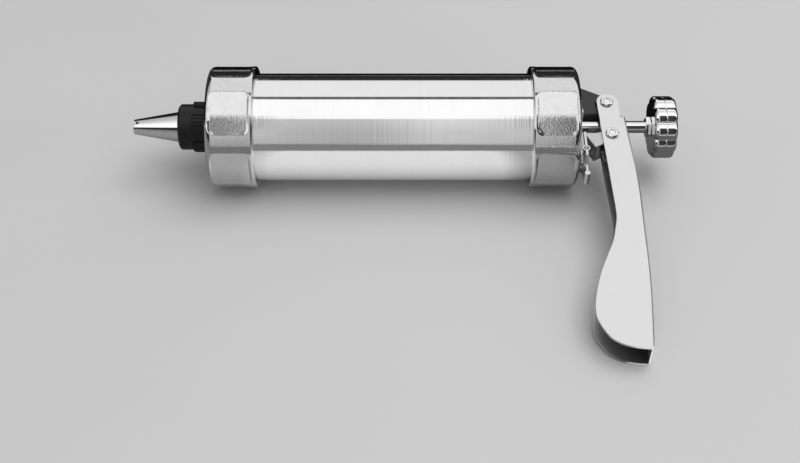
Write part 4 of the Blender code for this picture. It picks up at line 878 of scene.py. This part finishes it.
def pawl_spring():
    low, high = span("pawl_spring")
    wire = PAWL_SPRING_WIRE
    radius = (high.z - low.z - wire) / 2
    middle_y = (low.y + high.y) / 2
    start, end = low.x + wire, high.x - wire
    steps = PAWL_SPRING_TURNS * COIL_STEPS
    points = [(start - wire, middle_y, radius)]
    for step in range(steps + 1):
        turn = 2 * math.pi * step / COIL_STEPS
        x = start + (end - start) * step / steps
        points.append((x, middle_y + radius * math.sin(turn), radius * math.cos(turn)))
    points.append((end + wire, middle_y, radius))
    add_wire("pawl_spring", points, wire)


def lever_spring():
    low, high = span("lever_spring")
    wire = LEVER_SPRING_WIRE
    radius = (high.x - low.x - wire) / 2
    base = low.z + wire / 2
    rise = high.z - low.z - wire
    steps = int(LEVER_SPRING_TURNS * COIL_STEPS)
    points = [(LEVER_PIVOT.x - radius, LEVER_PIVOT.y - LEVER_SPRING_LEG, base)]
    for step in range(steps + 1):
        turn = math.pi - 2 * math.pi * step / COIL_STEPS
        z = base + rise * step / steps
        points.append((LEVER_PIVOT.x + radius * math.cos(turn), LEVER_PIVOT.y + radius * math.sin(turn), z))
    last = points[-1]
    points.append((last[0], last[1] - LEVER_SPRING_LEG, last[2]))
    add_wire("lever_spring", points, wire)


# Stage: floor, cards, world, lamp and camera

FLOOR_SIZE = 6.0
FLOOR_TONE = 0.60
FLOOR_CHANGE = 0.02
FLOOR_CELLS = 3
FLOOR_ROUGHNESS = 0.75
FLOOR_SPECULAR = 0.2
# The floor's tone as metal mirrors it, at places along the barrel, painted for reflections only: a painted
# highlight in front of the tube, painted shade before the collars, the nozzle and the lever's works
PAINTED_FLOOR_REFLECTION = (
    (-0.205, 0.30), (-0.190, 0.52), (-0.170, 0.52), (-0.155, 0.85), (-0.035, 0.85), (-0.022, 0.42),
    (0.000, 0.40), (0.012, 0.12),
)
# In front of the lever's paddle it is bright again, a painted highlight for the sheet's cut edges
PADDLE_FLOOR_Y = -0.07
PADDLE_PAINTED_HIGHLIGHT = 0.95

# Cards: place, lowest and highest point, and tone
CARD_LENGTH = 1.6
REAR_CARD_Y = 0.10
REAR_CARD_SPAN = (0.0, 0.055)
REAR_CARD_TONE = 0.01
FRONT_CARD_Y = -0.095
FRONT_CARD_SPAN = (0.0, 0.035)
FRONT_CARD_TONE = 0.40

# Lamp, and the sky as it lights matt surfaces and as the camera sees it
LAMP_PLACE = (0.5, -0.1, 1.6)
LAMP_SIZE = (2.0, 1.2)
LAMP_RADIANCE = 2.5
SKY_DIFFUSE = 0.50
SKY_CAMERA = 0.62

# Faint streaks from top to bottom in the lower part of the mirrored sky
SKY_STREAKS = 9
SKY_STREAK_DEPTH = 0.18
SKY_STREAK_TOP_DEG = 53

# What metal mirrors of the studio: brightness at each angle from the horizon in front (0) over the
# top to the one behind (180). The fill panel in front is no wider than the barrel needs, so the
# middle, its two sides, the far left and the far right have bands of their own.
MIDDLE_BANDS = (
    (0, 0.46), (3, 0.54), (25, 0.56), (40, 0.64), (52, 0.68), (54, 1.12), (96.5, 1.12), (98, 0.06),
    (102.5, 0.06), (104.5, 0.93), (150, 0.90), (153.5, 0.88), (156, 0.03), (180, 0.02),
)
SIDE_BANDS = (
    (0, 0.42), (10, 0.52), (20, 0.62), (28, 0.58), (40, 0.34), (56.5, 0.29), (61.5, 1.12), (98, 1.12),
    (99.5, 0.10), (103, 0.10), (105, 0.94), (150, 0.92), (161, 0.88), (163.5, 0.03), (180, 0.02),
)
RIGHT_BANDS = (
    (0, 0.03), (57, 0.05), (60, 1.12), (99, 1.12), (100.5, 0.10), (104, 0.10), (106.5, 0.98),
    (136, 0.95), (140, 0.03), (180, 0.02),
)
LEFT_BANDS = (
    (0, 0.22), (5, 0.26), (8, 0.03), (30, 0.03), (33, 1.12), (62, 1.12), (95, 0.62), (132, 0.48),
    (136, 0.40), (140, 0.03), (180, 0.02),
)
MIDDLE_REACH = (-0.110, 0.100)
LEFT_REACH = -0.30
RIGHT_REACH = 0.142
REACH_BLUR = 0.006


def stage_object(name, mesh, material):
    mesh.materials.append(material)
    thing = new_object(name, mesh)
    return thing


def flat_sheet(width, depth):
    work = bmesh.new()
    bmesh.ops.create_grid(work, x_segments=1, y_segments=1, size=0.5)
    bmesh.ops.scale(work, vec=(width, depth, 1), verts=work.verts)
    mesh = bpy.data.meshes.new("sheet")
    work.to_mesh(mesh)
    work.free()
    return mesh


def bands(graph, share, levels):
    """A ramp of brightness; levels are (place, brightness) and share runs from 0 to 1 over their places."""
    made = graph.add("ValToRGB", {"Fac": share})
    ramp = made.color_ramp
    while len(ramp.elements) < len(levels):
        ramp.elements.new(0.5)
    first, last = levels[0][0], levels[-1][0]
    for element, (place, level) in zip(ramp.elements, levels):
        element.position = (place - first) / (last - first)
        element.color = (level, level, level, 1)
    return made.outputs["Color"]


def matt_graph(name, roughness, specular):
    """A new matt material and its shader."""
    graph = Graph(bpy.data.materials.new(name))
    shader = graph.tree.nodes["Principled BSDF"]
    shader.inputs["Roughness"].default_value = roughness
    shader.inputs["Specular IOR Level"].default_value = specular
    return graph, shader


def floor():
    graph, shader = matt_graph("floor", FLOOR_ROUGHNESS, FLOOR_SPECULAR)
    split = graph.add("SeparateXYZ", {"Vector": graph.add("TexCoord").outputs["Object"]})
    along = split.outputs["X"]
    # Painted reflection: glossy rays see painted highlight and painted shade along the barrel and a painted
    # highlight before the paddle, while the camera sees the even floor
    start, end = [(PRESS @ Vector((PAINTED_FLOOR_REFLECTION[i][0], 0, 0))).x for i in (0, -1)]
    painted_reflection_bands = bands(graph, graph.ranged(along, start, end, 0, 1), PAINTED_FLOOR_REFLECTION)
    ahead = graph.blend(split.outputs["Y"], PADDLE_FLOOR_Y, "LESS_THAN")
    beside = graph.blend(along, end, "GREATER_THAN")
    mirrored = graph.mix(graph.blend(ahead, beside), painted_reflection_bands, PADDLE_PAINTED_HIGHLIGHT)
    clouds = graph.noise(FLOOR_CELLS, detail=2)
    levels = [FLOOR_TONE * (1 - FLOOR_CHANGE), FLOOR_TONE * (1 + FLOOR_CHANGE)]
    seen = graph.ranged(clouds, *NOISE_RANGE, *levels)
    by_metal = graph.add("LightPath").outputs["Is Glossy Ray"]
    graph.feed(shader.inputs["Base Color"], graph.mix(by_metal, seen, mirrored))
    stage_object("floor", flat_sheet(FLOOR_SIZE, FLOOR_SIZE), graph.owner)


def low_card(name, y, span_up, tone):
    """A low card beside the press, seen only in its reflections, that draws the metal's edges."""
    graph, shader = matt_graph(name, 1, 0)
    shader.inputs["Base Color"].default_value = (tone, tone, tone, 1)
    bottom, top = span_up
    mesh = flat_sheet(CARD_LENGTH, top - bottom)
    mesh.transform(Matrix.Translation((0, y, (bottom + top) / 2)) @ Matrix.Rotation(math.pi / 2, 4, "X"))
    card = stage_object(name, mesh, graph.owner)
    card.visible_camera = False
    card.visible_diffuse = False
    card.visible_shadow = False


def sky():
    world = bpy.data.worlds.new("studio")
    bpy.context.scene.world = world
    graph = Graph(world)
    background = graph.tree.nodes["Background"]
    direction = graph.add("SeparateXYZ", {"Vector": graph.add("TexCoord").outputs["Generated"]})
    across = direction.outputs["X"]
    ahead = graph.blend(direction.outputs["Y"], -1)
    angle = graph.blend(direction.outputs["Z"], ahead, "ARCTAN2")
    share = graph.ranged(angle, 0, math.pi, 0, 1)

    places = graph.blend(across, SKY_STREAKS)
    streaks = graph.add("TexNoise", {"W": places, "Scale": 1, "Detail": 2}, noise_dimensions="1D")
    varied = graph.ranged(streaks, *STREAK_RANGE, 1 - SKY_STREAK_DEPTH, 1 + SKY_STREAK_DEPTH)
    above = graph.blend(angle, math.radians(SKY_STREAK_TOP_DEG), "GREATER_THAN")
    middle = graph.blend(bands(graph, share, MIDDLE_BANDS), graph.mix(above, varied, 1))

    left, right = MIDDLE_REACH
    from_left = graph.ranged(across, left - REACH_BLUR, left, 0, 1)
    to_right = graph.ranged(across, right, right + REACH_BLUR, 1, 0)
    inside = graph.blend(from_left, to_right)
    mirrored = graph.mix(inside, bands(graph, share, SIDE_BANDS), middle)
    for levels, reach, operation in (
            (LEFT_BANDS, LEFT_REACH, "LESS_THAN"), (RIGHT_BANDS, RIGHT_REACH, "GREATER_THAN")):
        beyond = graph.blend(across, reach, operation)
        mirrored = graph.mix(beyond, mirrored, bands(graph, share, levels))

    path = graph.add("LightPath")
    by_metal = graph.blend(path.outputs["Is Glossy Ray"], path.outputs["Is Transmission Ray"], "MAXIMUM")
    lighting = graph.mix(by_metal, SKY_DIFFUSE, mirrored)
    strength = graph.mix(path.outputs["Is Camera Ray"], lighting, SKY_CAMERA)
    graph.feed(background.inputs["Strength"], strength)
    background.inputs["Color"].default_value = (1, 1, 1, 1)


def overhead_lamp():
    lamp = bpy.data.lights.new("softbox", "AREA")
    lamp.shape = "RECTANGLE"
    lamp.size, lamp.size_y = LAMP_SIZE
    lamp.energy = LAMP_RADIANCE * math.pi * lamp.size * lamp.size_y
    thing = new_object("softbox", lamp)
    thing.location = LAMP_PLACE
    thing.rotation_euler = Vector(LAMP_PLACE).to_track_quat("Z", "Y").to_euler()
    thing.visible_camera = False
    thing.visible_glossy = False


def camera():
    data = bpy.data.cameras.new("camera")
    data.sensor_width = CAMERA_SENSOR_MM
    data.lens = CAMERA_LENS_MM
    thing = new_object("camera", data)
    tilt = Matrix.Rotation(math.radians(90 - CAMERA_PITCH_DEG), 4, "X")
    thing.matrix_world = PRESS @ Matrix.Translation(CAMERA_PLACE) @ tilt
    bpy.context.scene.camera = thing


# Assembly

camera()
sky()
floor()
overhead_lamp()
low_card("rear_card", REAR_CARD_Y, REAR_CARD_SPAN, REAR_CARD_TONE)
low_card("front_card", FRONT_CARD_Y, FRONT_CARD_SPAN, FRONT_CARD_TONE)

barrel_tube()
collar("front_collar", FRONT_LIP_REACH, False)
collar("rear_collar", REAR_LIP_REACH, True)
coupling_nut()
nozzle()
push_rod()
knob_locknut()
knob()
rivet("lever_pivot_rivet", LEVER_PIVOT)
rivet("pawl_rivet", PAWL_PIVOT)
trigger_lever()
pawl_spring()
lever_spring()
for plain_node in (
        "nozzle_adapter", "rear_plate", "guide_bush", "piston_head", "piston_seal", "piston_washer",
        "piston_screw", "bracket_screw_upper", "bracket_screw_lower", "release_pin"):
    refine(plain_node, SMALL_EDGE)
refine("frame_bracket", MOULDED_EDGE)
refine("drive_pawl", SHEET_EDGE)
refine("release_plate", SHEET_EDGE)

bpy.context.scene.view_settings.view_transform = "Standard"
